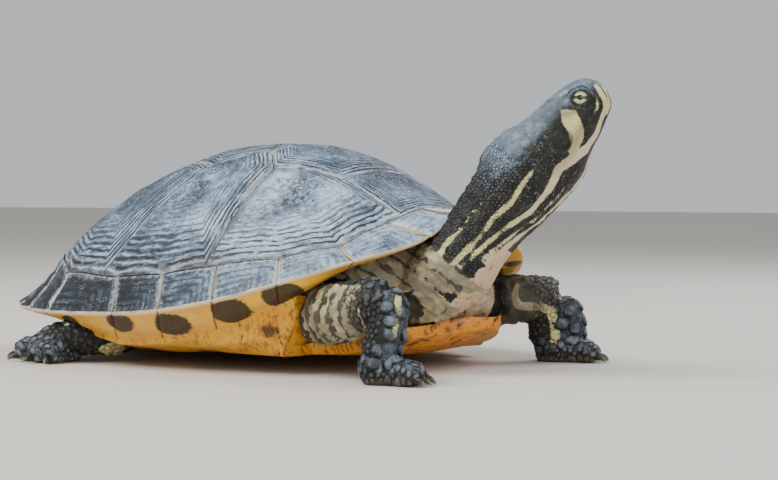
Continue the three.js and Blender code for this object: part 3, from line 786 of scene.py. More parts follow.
@dataclass(frozen=True)
class Hide:
    """Dark skin with pale stripes, painted reflection and painted shade, for the skin and the scales on it
    alike.
    """

    name: str
    scaly: bool
    dark: Colour = tint(0x101213)
    olive: Colour = tint(0x2B2A23)
    pale: Colour = tint(0xCFC98A)
    cream: Colour = tint(0xDCCFAE)
    pink: Colour = tint(0xD0AC88)
    # stripes and skin in painted shade where the neck and legs go in under the shell
    shaded_stripe: Colour = tint(0x8F876F)
    shade: Colour = tint(0x5A5446)
    wrinkle: Colour = tint(0x6E6848)
    # painted reflection: the sky's colour on the skin, and paler patches within it
    reflection_blue: Colour = tint(0x5F7183)
    pale_reflection: Colour = tint(0xA9B6C2)
    dust: Colour = tint(0xC4C4BA)
    soil: Colour = tint(0x6E6250)

    def material(self) -> bpy.types.Material:
        """Make the finish; it reads the markings' facts and, on scales, crown and tone.

        Returns:
            The material.
        """
        g = Graph(self.name)
        drift, grain, mottle = g.cloud(5.0), g.cloud(0.7, 4.0), g.cloud(2.6, 5.0, None, 0.65)
        painted_sheen, warm, dim, dusty = g.fact("painted_sheen"), g.fact("warm"), g.fact("dim"), g.fact("dusty")
        # pale patches of painted reflection within the painted_sheen
        pale_reflection = (painted_sheen * 0.8 + (mottle - 0.5) * 2.4 + (grain - 0.5)).step(0.72, 1.5)
        web = g.cells(1.7, "DISTANCE_TO_EDGE").step(0.1, 0.0) * g.cloud(2.0, 4.0).step(0.48, 0.66)
        stripe = (g.fact("stripe") + (drift - 0.5) * 1.1 + (grain - 0.5) * 0.9).step(0.3, -0.3)
        wrinkles = g.cloud(1.1, 4.0, g.stretched(g.place(), (1.0, 1.0, 0.5)))
        light = g.layered(
            self.pale,
            (warm, self.cream),
            ((warm - 1.0 + drift * 0.6).step(0.0, 0.9), self.pink),
            # pale stripes painted darker where dim marks painted shade
            ((dim * 1.05 + (mottle - 0.5) * dim * 1.8).step(0.1, 1.1), self.shaded_stripe),
            (wrinkles.step(0.58, 0.74) * 0.45, self.wrinkle))
        colour = g.layered(
            self.dark,
            (drift.step(0.35, 0.75), self.olive),
            # painted reflection where painted_sheen is
            ((painted_sheen + (mottle - 0.5) * 1.7).step(0.25, 1.0) * 0.85, self.reflection_blue),
            (pale_reflection * 0.7, self.pale_reflection),
            (web * 0.26 * dusty, self.dust),
            # painted shade where dim is
            (dim * (0.4 + mottle * 0.7), self.shade),
            (stripe * 0.94, light),
            (g.cells(0.95).step(0.25, 0.1) * g.cloud(3.0).step(0.45, 0.6) * 0.75 * dusty, self.dust),
            (g.fact("sole") * 0.9 * (0.55 + drift * 0.6), self.soil))
        if self.scaly:
            tone, crown = g.fact("tone"), g.fact("crown")
            # painted highlights on the scales' crowns, and painted shade in the gaps between scales
            shine = crown.step(0.3, 1.0) * (0.2 + tone * 0.8) * (mottle * 1.6 - 0.2)
            colour = g.layered(colour, (shine * (1 - stripe) * (0.2 + painted_sheen) * 0.7, self.pale_reflection),
                               (crown.step(0.7, 0.15) * 0.85, self.dark))
        else:
            # painted shade in the head's folds, read from crease
            colour = g.blend(g.fact("crease") * 0.92, colour, self.dark)
        bump = g.relief(g.cells(0.55), 0.12, g.relief(g.cloud(1.5, 4.0), 0.26))
        fixed = {"Subsurface Weight": 0.04, "Subsurface Scale": 0.001,
                 "Coat Weight": 0.06, "Coat Roughness": 0.35}
        return g.finish(colour, 0.44 + 0.25 * grain - 0.06 * painted_sheen, bump, fixed)


@dataclass(frozen=True)
class ClawHorn:
    """Dark brown claws with worn pale tips."""

    dark: Colour = tint(0x241F1A)
    worn: Colour = tint(0x8E8068)

    def material(self) -> bpy.types.Material:
        """Make the finish; it reads along from the root to the tip.

        Returns:
            The material.
        """
        g = Graph("claw_horn")
        streaks = g.cloud(1.2, 3.0)
        colour = g.blend((g.fact("along") + streaks * 0.5).step(0.6, 1.3), self.dark, self.worn)
        return g.finish(colour, 0.35 + 0.2 * streaks, g.relief(streaks, 0.08), {"Coat Weight": 0.2})


@dataclass(frozen=True)
class EyeGloss:
    """A pale green iris crossed by a dark bar, under a wet surface."""

    iris: Colour = tint(0xC9D28C)
    rim: Colour = tint(0x5E6A3A)
    ring: Colour = tint(0xE8EEB0)
    dark: Colour = tint(0x08090A)

    def material(self) -> bpy.types.Material:
        """Make the finish; it reads gaze: across the bar, above it, and from the middle.

        Returns:
            The material.
        """
        g = Graph("eye_gloss")
        gaze = {0: g.fact_vector("gaze")}
        across, above = (g.node("ShaderNodeSeparateXYZ", {}, gaze, part) for part in "XY")
        grain = g.cloud(0.35, 3.0)
        far = g.math("SQRT", across * across + above * above)
        from_ring = far - 1.25
        bar = (g.math("ABSOLUTE", above, 0.0) + (grain - 0.5) * 0.5).step(0.75, 0.4)
        colour = g.layered(
            self.iris,
            ((far + (grain - 0.5) * 0.5).step(1.7, 2.9), self.rim),
            (grain.step(0.5, 0.7) * 0.35, self.rim),
            (from_ring.step(-0.16, 0.0) * from_ring.step(0.16, 0.0) * 0.5, self.ring),
            (bar * 0.92, self.dark),
            (far.step(1.15, 0.95), self.dark))
        return g.finish(colour, 0.08, None, {"Coat Weight": 1.0, "Coat Roughness": 0.02, "IOR": 1.38})


@dataclass(frozen=True)
class StudioFloor:
    """Plain pale matt floor."""

    def material(self) -> bpy.types.Material:
        """Make the finish.

        Returns:
            The material.
        """
        g = Graph("studio_floor")
        colour = g.blend(g.cloud(400.0, 2.0), tint(0xC9C4BC), tint(0xCDC8C1))
        return g.finish(colour, 0.85, None, {"Specular IOR Level": 0.15})


# ---------------------------------------------------------------- the shell
@dataclass(frozen=True)
class ShellForm:
    """The shell's outer surface over the level of its side rim."""

    front_reach: float = 115.0
    rear_reach: float = 112.0
    half_width: float = 90.2
    widest_x: float = -20.0
    outline_front: float = 2.5
    outline_rear: float = 2.1
    notch_depth: float = 8.0
    notch_spread: float = 17.0
    crest_height: float = 68.2
    crest_x: float = 0.8
    crest_front: float = 2.85
    crest_rear: float = 2.03
    front_round: float = 1.19
    crest_round: float = 1.5
    side_power: float = 2.23
    side_round: float = 1.13
    rear_power: float = 2.76
    rear_round: float = 1.02
    rear_from: float = -10.0
    rear_over: float = 50.0
    front_blend: float = 3.0
    rise_from: float = 11.5
    rise_front: float = 25.0
    rise_rear: float = 10.0
    arch_height: float = 12.0
    arch_spread: float = 20.0
    arch_from: float = 60.0
    arch_over: float = 55.0
    thickness: float = 3.4
    steepest: float = 2.2  # past this slope the plates get no deeper

    def rim_half_width(self, x: Array) -> Array:
        """How far the rim lies from the midline.

        Args:
            x: how far forward.

        Returns:
            One half width for each place.
        """
        front = x > self.widest_x
        reach = where(front, self.front_reach - self.widest_x, self.rear_reach + self.widest_x)
        power = where(front, self.outline_front, self.outline_rear)
        t = minimum(1, abs(x - self.widest_x) / reach)
        return self.half_width * sqrt(1 - t ** power)

    def rim_point(self, x: Array) -> tuple[Array, Array]:
        """A point of the rim, drawn back at the notch over the neck."""
        y = self.rim_half_width(x)
        return x - self.notch_depth * where(x > 0, bell(y, self.notch_spread), 0), y

    def rim_height(self, x: Array, y: Array) -> Array:
        """Height of the rim, which rises to both ends and over the neck.

        Args:
            x: how far forward.
            y: how far left.

        Returns:
            One height for each place.
        """
        front = (x - self.rise_from) / (self.front_reach - self.rise_from)
        rear = (self.rise_from - x) / (self.rear_reach + self.rise_from)
        rise = where(x > self.rise_from, self.rise_front * front ** 2, self.rise_rear * rear ** 2)
        arch = clip((x - self.arch_from) / self.arch_over, 0, 1) ** 2
        return rise + self.arch_height * arch * bell(y, self.arch_spread)

    def height(self, x: Array, y: Array) -> Array:
        """Height of the shell's outer surface.

        Args:
            x: how far forward.
            y: how far left.

        Returns:
            One height for each place.
        """
        ahead = x > self.crest_x
        t = minimum(1, abs(x - self.crest_x) / where(
            ahead, self.front_reach - self.crest_x, self.rear_reach + self.crest_x))
        fall = 1 - t ** where(ahead, self.crest_front, self.crest_rear)
        crest = self.crest_height * fall ** where(ahead, self.front_round, self.crest_round)
        rim = self.rim_height(x, y)
        s = minimum(1, abs(y) / maximum(1, self.rim_half_width(x)))
        rearward = smooth(self.rear_from - x, 0, self.rear_over)
        power = lerp(self.side_power, self.rear_power, rearward)
        roundness = lerp(self.side_round, self.rear_round, rearward)
        return rim + (crest - rim * (1 - t ** self.front_blend)) * (1 - s ** power) ** roundness

    def slope(self, x: Array, y: Array) -> Array:
        """How much longer the surface is than its plan.

        Args:
            x: how far forward.
            y: how far left.

        Returns:
            At least 1 for each place.
        """
        step = 0.5
        dx = (self.height(x + step, y) - self.height(x - step, y)) / (2 * step)
        dy = (self.height(x, y + step) - self.height(x, y - step)) / (2 * step)
        return sqrt(1 + dx * dx + dy * dy)

    def underside(self, x: Array, y: Array) -> Array:
        """Height of the plates' inner surface."""
        return self.height(x, y) - self.thickness * minimum(self.steepest, self.slope(x, y))


SHELL = ShellForm()

RIM_SEAM_X = array([114.4, 110.9, 95.5, 73.7, 50.6, 27.6, 4.6, -37, -56, -74, -90, -103, -112.0])
INNER_SEAM = array([(92, 8), (92, 27), (86, 48.5), (68, 62.5), (44, 71.5), (20, 77), (-4, 79),
                    (-36, 77), (-50, 68.5), (-63, 57), (-74, 44), (-83.5, 27), (-88.5, 0)], float)
V1_FRONT, V1_WAIST, V12, C12_TOP, V23 = (92, 20.5), (76, 22), (66, 23.5), (37.5, 33.5), (26.5, 22.5)
C23_TOP, V34, C34_TOP, V45 = (5, 36), (-16, 25.5), (-38, 34), (-60, 20)
C12_LOW, C23_LOW, C34_LOW, C4_LOW = (39, 72.5), (-13.5, 78.4), (-55, 64.1), (-78, 36.8)


class Side(Enum):
    """The turtle's two sides."""

    RIGHT = -1
    LEFT = 1

    @property
    def word(self) -> str:
        """The side's word in the pieces' names."""
        return self.name.lower()


@dataclass
class Carapace:
    """The plates of the shell's back, with their growth rings, and its rim."""

    form: ShellForm = field(default_factory=ShellForm)
    columns: int = 132
    rows: int = 46
    skirt_rows: int = 5  # more rows that turn down at a plate's edge and back below
    groove: float = 0.24  # left free at each plate's edge
    edge_drop: float = 1.0  # how far the edge rolls down into the seam
    edge_width: float = 0.9
    crown: float = 0.5  # each plate swells a little
    ring_height: float = 0.2
    rings: float = 7.0
    plate_depth: float = 2.6
    rim_drop: tuple[float, ...] = (0.5, 0.5, 1.5, 6, 9, 9, 8.5, 2.2, 0.8, 0.6, 0.6, 0.6, 0.6)
    under_reach: float = 13.0
    rim_round: float = 0.9
    rim_columns: int = 26
    rim_rows: int = 70
    nuchal_columns: int = 24
    nuchal_rows: int = 48
    serration: float = 1.5
    serrated_from: int = 7
    rear_flare: float = 2.4
    side_flare: float = 0.3
    blotches: tuple[tuple[float, ...], ...] = (  # x, y, z, width and height
        (54.5, -74.5, 23.5, 8.0, 5.2), (30.0, -81.0, 18.0, 7.8, 5.0), (6.0, -86.5, 18.0, 7.0, 4.2),
        (73.5, -66.0, 29.5, 9.0, 5.4), (-24.0, -85.0, 17.5, 5.0, 3.4), (-50.0, -75.0, 19.5, 4.2, 2.8),
        (-72.0, -62.0, 21.5, 3.6, 2.4), (-90.0, -44.0, 23.5, 3.2, 2.2), (94.0, -46.0, 39.0, 4.4, 2.6),
        (109.0, -24.0, 47.0, 3.6, 2.4))

    def build(self) -> None:
        """Make and dress every plate."""
        horn = ShellHorn().material()
        for i, (corners, areola) in enumerate(self.vertebrals()):
            self.add_plate(f"vertebral_{i + 1}", corners, areola, 1, i * 1.7, horn)
        for side in Side:
            for i, (corners, areola) in enumerate(self.pleurals()):
                self.add_plate(f"pleural_{side.word}_{i + 1}", corners, areola, side.value,
                               11 + i * 2.3 + side.value, horn)
        rim = RimHorn().material()
        for side in Side:
            mesh = grids(f"marginals_{side.word}", self.rim_columns, self.rim_rows,
                         self.marginal_place(side), len(RIM_SEAM_X) - 1)
            make_piece(f"marginal_plates_{side.word}", mesh, rim,
                       [f"carapace_marginals_{side.word}"])
        mesh = grids("nuchal", self.nuchal_columns, self.nuchal_rows, self.nuchal_place)
        make_piece("nuchal_plate", mesh, rim, ["carapace_nuchal"])

    def vertebrals(self) -> list[Outline]:
        """Outlines of the five middle plates and where each grew from.

        Returns:
            The corners and the growth centre of each, from the front.
        """
        halves = [[tuple(INNER_SEAM[0]), V1_FRONT, V1_WAIST, V12], [V12, C12_TOP, V23], [V23, C23_TOP, V34],
                  [V34, C34_TOP, V45], [V45, C4_LOW, tuple(INNER_SEAM[11]), tuple(INNER_SEAM[12])]]
        areolas = [(72, 0), (38, 0), (-4, 0), (-44, 0), (-76, 0)]
        return [(half + [(x, -y) for x, y in reversed(half) if y > 0], areola)
                for half, areola in zip(halves, areolas)]

    def pleurals(self) -> list[Outline]:
        """Outlines of one side's four side plates and where each grew from.

        Returns:
            The corners and the growth centre of each, from the front.
        """
        seam = [tuple(p) for p in INNER_SEAM]
        return [
            ([V1_WAIST, V1_FRONT, *seam[1:5], C12_LOW, C12_TOP, V12], (47, 40)),
            ([C12_TOP, C12_LOW, seam[5], seam[6], C23_LOW, C23_TOP, V23], (4, 42)),
            ([C23_TOP, C23_LOW, seam[7], seam[8], C34_LOW, C34_TOP, V34], (-36, 40)),
            ([C34_TOP, C34_LOW, seam[9], seam[10], C4_LOW, V45], (-66, 34)),
        ]

    def add_plate(self, name: str, corners: list[Corner], areola: Corner,
                  side: int, seed: float, horn: bpy.types.Material) -> None:
        """Make one plate of the back.

        Args:
            name: the plate's name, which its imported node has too.
            corners: its plan outline on the left side.
            areola: where it grew from.
            side: 1 as given, -1 mirrored.
            seed: makes its rings its own.
            horn: its finish.
        """
        outline = array(corners, float) * (1, side)
        middle = array(areola, float) * (1, side)
        place = self.plate_place(outline, middle, seed)
        mesh = grids(name, self.columns, self.rows + self.skirt_rows, place)
        make_piece(f"plate_{name}", mesh, horn, [f"carapace_{name}"])

    def plate_place(self, outline: Array, middle: Array, seed: float) -> Place:
        """The surface of one plate: out from its areola, over its edge and back below.

        Args:
            outline: the plan outline's corners.
            middle: the areola.
            seed: makes its rings its own.

        Returns:
            What places a grid's points.
        """
        lengths = norm(np.roll(outline, -1, axis=0) - outline, axis=1)
        shares = maximum(2, np.round(lengths / lengths.sum() * self.columns)).astype(int)
        shares[np.argmax(shares)] += self.columns - shares.sum()
        starts = np.concatenate([[0], np.cumsum(shares)])

        def place(_: Array, u: Array, v: Array) -> tuple[Array, Facts]:
            """Place the plate's points.

            Args:
                u: how far across each grid.
                v: how far along each grid.

            Returns:
                The points and their facts.
            """
            column = clip(u * self.columns, 0, self.columns - 1e-6) * (u < 1)
            i = clip(np.searchsorted(starts, column + 1e-4, side="right") - 1, 0, len(outline) - 1)
            t = ((column - starts[i]) / shares[i])[:, None]
            border = lerp(outline[i], outline[(i + 1) % len(outline)], t)
            reach = norm(border - middle, axis=1)
            last = self.rows / (self.rows + self.skirt_rows)
            top = v <= last + 1e-6
            r = where(top, 1 - (1 - clip(v / last, 0, 1)) ** 1.45, 1 - clip((v - last) / (1 - last), 0, 1))
            r = where(~top & ((v - last) / (1 - last) < 0.25), 1.0, r)
            shrink = r * (1 - self.groove / reach)
            flat = middle + (border - middle) * shrink[:, None]
            x, y = flat[:, 0], flat[:, 1]
            to_edge = (1 - r) * reach * (0.35 + 0.65 * self.form.slope(x, y))
            angle = arctan2(border[:, 1] - middle[1], border[:, 0] - middle[0])
            warp = 0.14 * sin(3 * angle + seed) + 0.09 * sin(7 * angle + 2 * seed)
            phase = self.rings * r ** 1.5 + warp
            relief = self.ring_height * (0.5 * cos(math.tau * phase) - 0.2 * cos(2 * math.tau * phase))
            relief = relief * smooth(r, 0.12, 0.4) * smooth(to_edge, 0.6, 2.2)
            relief += self.crown * (1 - r ** 3) - self.edge_drop * bell(to_edge, self.edge_width)
            relief += 0.5 * bell(r, 0.12)
            depth = self.plate_depth * minimum(self.form.steepest, self.form.slope(x, y))
            z = self.form.height(x, y) + where(top, relief, -depth)
            rim_share = abs(y) / maximum(1, self.form.rim_half_width(x))
            low = smooth(rim_share, 0.72, 0.9) * smooth(to_edge, 11.0, 1.0)
            facts = {
                "ring": where(top, r, 1.0), "edge": where(top, to_edge, 3.0), "low": low,
                "spin": stack([cos(angle) + seed, sin(angle), r], axis=-1),
                # painted_sheen: painted reflection, lighter towards the front and top of the dome
                "painted_sheen": smooth(x, -20, 70) * smooth(abs(y), 5, 45),
            }
            return on_shell(x, y, z), facts

        return place

    def marginal_section(self, station: Array, v: Array) -> tuple[Array, Array, Facts]:
        """Profiles of the rim, from the inner seam over the rim and back below.

        Args:
            station: places along the rim, in marginals from the nuchal.
            v: shares of the way round the profile, 0.5 at the rim.

        Returns:
            Plan places, heights, and the rim's x, the width and the share along its marginal of each
            profile.
        """
        form = self.form
        index = clip(np.floor(station).astype(int), 0, len(RIM_SEAM_X) - 2)
        share = station - index
        drops = array(self.rim_drop)
        seam_x = lerp(RIM_SEAM_X[index], RIM_SEAM_X[index + 1], share)
        rx, ry = form.rim_point(seam_x)
        inner = lerp(INNER_SEAM[index], INNER_SEAM[index + 1], share[:, None])
        drop = lerp(drops[index], drops[index + 1], share)
        width = hypot(rx - inner[:, 0], ry - inner[:, 1])
        way = (inner - stack([rx, ry], axis=-1)) / width[:, None]
        bow = 1 - 2 * minimum(share, 1 - share)
        notch = where(station > self.serrated_from, self.serration * bow ** 2, 0.35 * bow ** 4)
        flare = lerp(self.side_flare, self.rear_flare, smooth(station, 6.6, 8.0))
        rim = form.rim_height(seam_x, ry)
        reach = width - self.groove
        seam = form.height(rx + way[:, 0] * reach, ry + way[:, 1] * reach)
        below = form.underside(inner[:, 0], inner[:, 1])
        under = minimum(self.under_reach, width - 1)
        lip = rim - drop - self.rim_round * (2 - 1.3 * smooth(station, 7, 8))
        knots = ((0, reach, seam), (0.12, width * 0.75, lerp(rim, seam, 0.74) - 0.7 * flare),
                 (0.24, width * 0.5, lerp(rim, seam, 0.5) - flare),
                 (0.36, width * 0.22, lerp(rim, seam, 0.22) - 0.7 * flare),
                 (0.44, notch + 1.2, rim + self.rim_round),
                 (0.47, notch + 0.3, rim + 0.75 * self.rim_round),
                 (0.5, notch, rim), (0.53, notch + 0.4, rim - 0.8 * self.rim_round),
                 (0.56, notch + 1.6, rim - 1.4 * self.rim_round - 0.06 * drop),
                 (0.68, lerp(notch, under, 0.5), rim - 0.6 * drop - 2 * self.rim_round),
                 (0.8, under, lip), (0.84, under + 0.8, lip + 0.4),
                 (0.93, reach, below), (1.0, reach, seam))
        inwards, z = zeros_like(v), zeros_like(v)
        for offset, weight in ((-0.012, 0.25), (0, 0.5), (0.012, 0.25)):
            w = clip(v + offset * ((v > 0.02) & (v < 0.93)), 0, 1)
            for (va, ia, za), (vb, ib, zb) in zip(knots, knots[1:]):
                inside = (w >= va) & ((w < vb) | (vb == 1.0))
                t = (w - va) / (vb - va)
                inwards += where(inside, weight * lerp(ia, ib, t), 0)
                z += where(inside, weight * lerp(za, zb, t), 0)
        rim_at = stack([rx, ry], axis=-1)
        return rim_at + way * inwards[:, None], z, {"rx": rx, "width": width, "share": share}

    def marginal_place(self, side: Side) -> Place:
        """The surface of one side's twelve marginals, one grid each.

        Args:
            side: which side.

        Returns:
            What places the grids' points.
        """
        def place(index: Array, u: Array, v: Array) -> tuple[Array, Facts]:
            """Place the marginals' points; the first and last columns close each plate's ends.

            Args:
                index: each grid's number.
                u: how far across each grid.
                v: how far along each grid.

            Returns:
                The points and their facts.
            """
            cap = 1 / self.rim_columns
            inside = between_ends(u, cap)
            lengths = abs(np.diff(RIM_SEAM_X))[index] + 8
            margin = 0.16 / lengths
            station = index + margin + (1 - 2 * margin) * inside
            plan, z, at = self.marginal_section(station, v)
            share, width = at["share"], at["width"]
            to_side = minimum(inside, 1 - inside) * lengths
            top = v < 0.5
            across = clip(v / 0.48, 0, 1)
            ring = maximum(clip((1 - share) / 0.6 - 0.66, 0, 1), 1 - across)
            inner_gap = across * width
            wave = cos(math.tau * (ring * 4.5 + 0.1 * sin(9 * share + index)))
            relief = where(top, 0.13 * wave * smooth(to_side, 0.5, 2) * smooth(inner_gap, 0.6, 2)
                           * smooth(1 - across, 0.0, 0.15), 0)
            relief -= 0.6 * bell(to_side, 0.55) * where(top, 1, 0.5)
            relief -= where(top, 0.55 * bell(inner_gap, 0.6), 0)
            relief += where(top, 0.35 * sin(math.pi * share) * sin(math.pi * across), 0)
            relief *= smooth(abs(v - 0.5), 0.46, 0.4) + top
            lift = where(top, relief, -relief * (v < 0.82))
            z = z + lift * smooth(abs(v - 0.5), 0.01, 0.05)
            end = at_ends(u, cap)
            plan_back, z_back, _ = self.marginal_section(station, 1 - v)
            plan = where(end[:, None], (plan + plan_back) / 2, plan)
            z = where(end, (z + z_back) / 2, z)
            points = on_shell(plan[:, 0], side.value * plan[:, 1], z)
            under = where(top, -(1 - across) * width, where(v > 0.86, -9.0, (v - 0.5) * 40)) - 0.4
            facts = {
                "ring": ring, "under": under, "blotch": self.blotch_distance(points),
                "edge": where(top, minimum(to_side, inner_gap + 0.9), to_side),
                # glow: painted light under the front marginals' rim
                "glow": bell(at["rx"] - 75, 13) * smooth(v, 0.51, 0.54) * smooth(v, 0.72, 0.6),
                # painted reflection on the front marginals
                "painted_sheen": smooth(at["rx"], 5, 80),
            }
            return points, facts

        return place

    def blotch_distance(self, points: Array) -> Array:
        """Distance to the dark blotches below the rim, less than zero in them.

        Args:
            points: places in the turtle's frame.

        Returns:
            One distance for each place.
        """
        best = full(len(points), 50.0)
        for x, y, z, wide, high in self.blotches:
            for mirror in (1, -1):
                along = hypot(points[:, 0] - x, points[:, 1] - mirror * y)
                gap = (sqrt((along / wide) ** 2 + ((points[:, 2] - z) / high) ** 2) - 1) * high
                best = minimum(best, gap)
        return best

    def nuchal_place(self, _: Array, u: Array, v: Array) -> tuple[Array, Facts]:
        """The small middle plate over the neck.

        Args:
            u: across the midline.
            v: round the plate from its inner edge.

        Returns:
            Its points and facts.
        """
        form = self.form
        inner_x, inner_half = INNER_SEAM[0]
        rim_x, rim_half = form.rim_point(RIM_SEAM_X[:1])
        cap = 1 / self.nuchal_columns
        inside = between_ends(u, cap)
        share = 2 * inside - 1
        yi, yr = share * (inner_half - 0.3), share * (rim_half - 0.3)
        seam = form.height(full_like(u, inner_x), yi)
        rim = form.rim_height(full_like(u, form.front_reach), yr)
        below = form.underside(full_like(u, inner_x), yi)
        knots = [(inner_x + 0.3, yi, seam), ((inner_x + rim_x) / 2, (yi + yr) / 2, (seam + rim) / 2 + 0.3),
                 (rim_x, yr, rim + 0.8), (rim_x + 0.3, yr, rim), (rim_x, yr, rim - 0.8),
                 (inner_x + 0.3, yi, below), (inner_x + 0.3, yi, seam)]
        places = array([0, 0.25, 0.47, 0.5, 0.53, 0.9, 1.0])
        table = array([[np.broadcast_to(part, u.shape) for part in knot] for knot in knots])
        rows = np.arange(len(u))

        def section(w: Array) -> Array:
            """Places round the profile.

            Args:
                w: how far round, from 0 to 1.

            Returns:
                How far in and how high, for each.
            """
            k = clip(np.searchsorted(places, w, side="right") - 1, 0, len(places) - 2)
            t = (w - places[k]) / (places[k + 1] - places[k])
            return lerp(table[k, :, rows], table[k + 1, :, rows], t[:, None])

        end = at_ends(u, cap)
        x, y, z = where(end[:, None], (section(v) + section(1 - v)) / 2, section(v)).T
        to_side = minimum(inside, 1 - inside) * 14
        z = z - 0.5 * bell(to_side, 0.6) * (v < 0.5)
        ring = clip(1 - v / 0.47, 0, 1)
        under = where(v > 0.88, -9.0, (v - 0.5) * 30)
        # the nuchal gets a middling painted reflection from painted_sheen, and no glow
        facts = {"ring": ring, "under": under, "edge": to_side + 0.2, "blotch": full_like(u, 9.0),
                 "glow": zeros_like(u), "painted_sheen": full_like(u, 0.6)}
        return on_shell(x, y, z), facts


@dataclass
class Plastron:
    """The shell's belly: two lobes and the middle with its bridges."""

    belly: float = -15.6
    thickness: float = 4.5
    keel: float = 0.4
    fall: tuple[float, float, float] = (30, 50, 2.9)
    rise: tuple[float, float, float] = (10, 118, 6.4)
    gular: tuple[float, float, float] = (80, 22, 7.0)
    lift: tuple[float, float, float, float] = (66, 36, 0.002, 0.055)
    bridge_rows: int = 72
    lip: tuple[float, ...] = (66, 22, 6.0, 0.3, 0.9)  # from, over, height, slope, loss
    front_lobe: tuple[tuple[float, float], ...] = (
        (66.8, 50), (78, 46.5), (88, 41.5), (95, 35), (99.5, 27), (102, 18), (102.6, 9))
    rear_lobe: tuple[tuple[float, float], ...] = (
        (-14, 50), (-34, 47), (-54, 45.5), (-74, 41), (-90, 33.5), (-102, 23), (-108, 14))
    bridge: tuple[tuple[float, float], ...] = ((66, 8), (54, 5), (36, 0), (12, 0), (-4, -8), (-13, -14))
    seams: tuple[tuple[float, float], ...] = (  # where each crosses the middle, and how much it bows
        (84, 0.45), (66.4, 0.0), (24, 0.05), (-13.5, 0.0), (-62, 0.12), (-88, 0.5))
    smudges: tuple[tuple[float, ...], ...] = (  # x, y, z, length and height
        (92, -33, 13, 9, 3.6), (63, -63, 17, 4, 3), (64, -57.5, 8, 3, 2.4), (70, 26, 6, 9, 12),
        (30, -58, 5, 9, 3.5), (-2, -66, 7, 6, 2.6))

    def build(self) -> None:
        """Make and dress the three pieces."""
        stations = np.linspace(2, 8, 61)
        plan, height, _ = Carapace().marginal_section(stations, full(len(stations), 0.8))
        self.edge = np.column_stack([plan, height])  # the marginals' lower edge, which the bridges meet
        horn = BellyHorn().material()
        for name, place, columns, rows in (
                ("front_lobe", self.lobe_place(array(self.front_lobe, float), 64), 88, 64),
                ("rear_lobe", self.lobe_place(array(self.rear_lobe, float), 72), 88, 72),
                ("middle_and_bridges", self.middle_place, 144, self.bridge_rows)):
            mesh = grids(name, columns, rows, place)
            make_piece(f"belly_{name}", mesh, horn, [f"plastron_{name}"])

    def level(self, x: Array) -> Array:
        """Height of the belly's underside in the shell.

        Args:
            x: how far forward.

        Returns:
            One height for each place.
        """
        fall = self.fall[2] * clip((x - self.fall[0]) / self.fall[1], 0, 1)
        rise = self.rise[2] * maximum(0, (self.rise[0] - x) / self.rise[1])
        lip = self.gular[2] * maximum(0, (x - self.gular[0]) / self.gular[1]) ** 2
        return self.belly - fall + rise + lip

    def raised(self, x: Array, y: Array) -> Array:
        """How far the front lobe's sides turn up."""
        share = clip((x - self.lift[0]) / self.lift[1], 0, 1)
        return share * (self.lift[2] * y * y + self.lift[3] * y)

    @staticmethod
    def round_ring(ring: Array, u: Array) -> Array:
        """Points along a closed ring of corners, each corner rounded.

        Args:
            ring: corners, k by n by 2, for each of n points.
            u: share of the way round.

        Returns:
            One place for each point.
        """
        following = np.roll(ring, -1, axis=0)
        controls = stack([ring, lerp(ring, following, 0.18), lerp(ring, following, 0.82)], axis=1)
        controls = controls.reshape(-1, *ring.shape[1:])
        count, rows = len(controls), np.arange(len(u))
        place = (u % 1.0) * count - 0.5
        i = np.floor(place).astype(int)
        t = (place - i)[:, None]
        a, b, c = (controls[(i + k) % count, rows] for k in (-1, 0, 1))
        start, end = (a + b) / 2, (b + c) / 2
        return (1 - t) ** 2 * start + 2 * t * (1 - t) * b + t ** 2 * end

    def closed_ring(self, ring: Array, u: Array, v: Array, cap: float) -> Array:
        """A section's points; in the first and last rows top and underside come together.

        Args:
            ring: corners, k by n by 2 or 3, from the top's middle round and back.
            u: share of the way round.
            v: share of the way along the piece.
            cap: height of one row.

        Returns:
            One place for each point.
        """
        points = self.round_ring(ring, u)
        partner = self.round_ring(ring, where(u < 0.5, 0.5 - u, 1.5 - u))
        end = at_ends(v, cap)
        return where(end[:, None], (points + partner) / 2, points)

    def facts(self, points: Array, x: Array, y: Array) -> Facts:
        """What the finish reads: how far forward, smudges and the seams between its scutes.

        Args:
            points: places in the turtle's frame.
            x: how far forward.
            y: how far left.

        Returns:
            The facts by name.
        """
        smudge = full(len(x), 30.0)
        for cx, cy, cz, long, high in self.smudges:
            gap = hypot(hypot(points[:, 0] - cx, points[:, 1] - cy) / long, (points[:, 2] - cz) / high)
            smudge = minimum(smudge, (gap - 1) * high)
        seams = minimum.reduce([abs(y)] + [abs(x - at + bow * abs(y)) for at, bow in self.seams])
        return {"front": smooth(x, 30, 95), "smudge": smudge, "seam": seams}

    def lobe_place(self, outline: Array, rows: int) -> Place:
        """The surface of one lobe.

        Args:
            outline: its plan, x and half width, from the hinge outwards.
            rows: how many rows its grid has.

        Returns:
            What places a grid's points.
        """
        curve = Spline(outline)

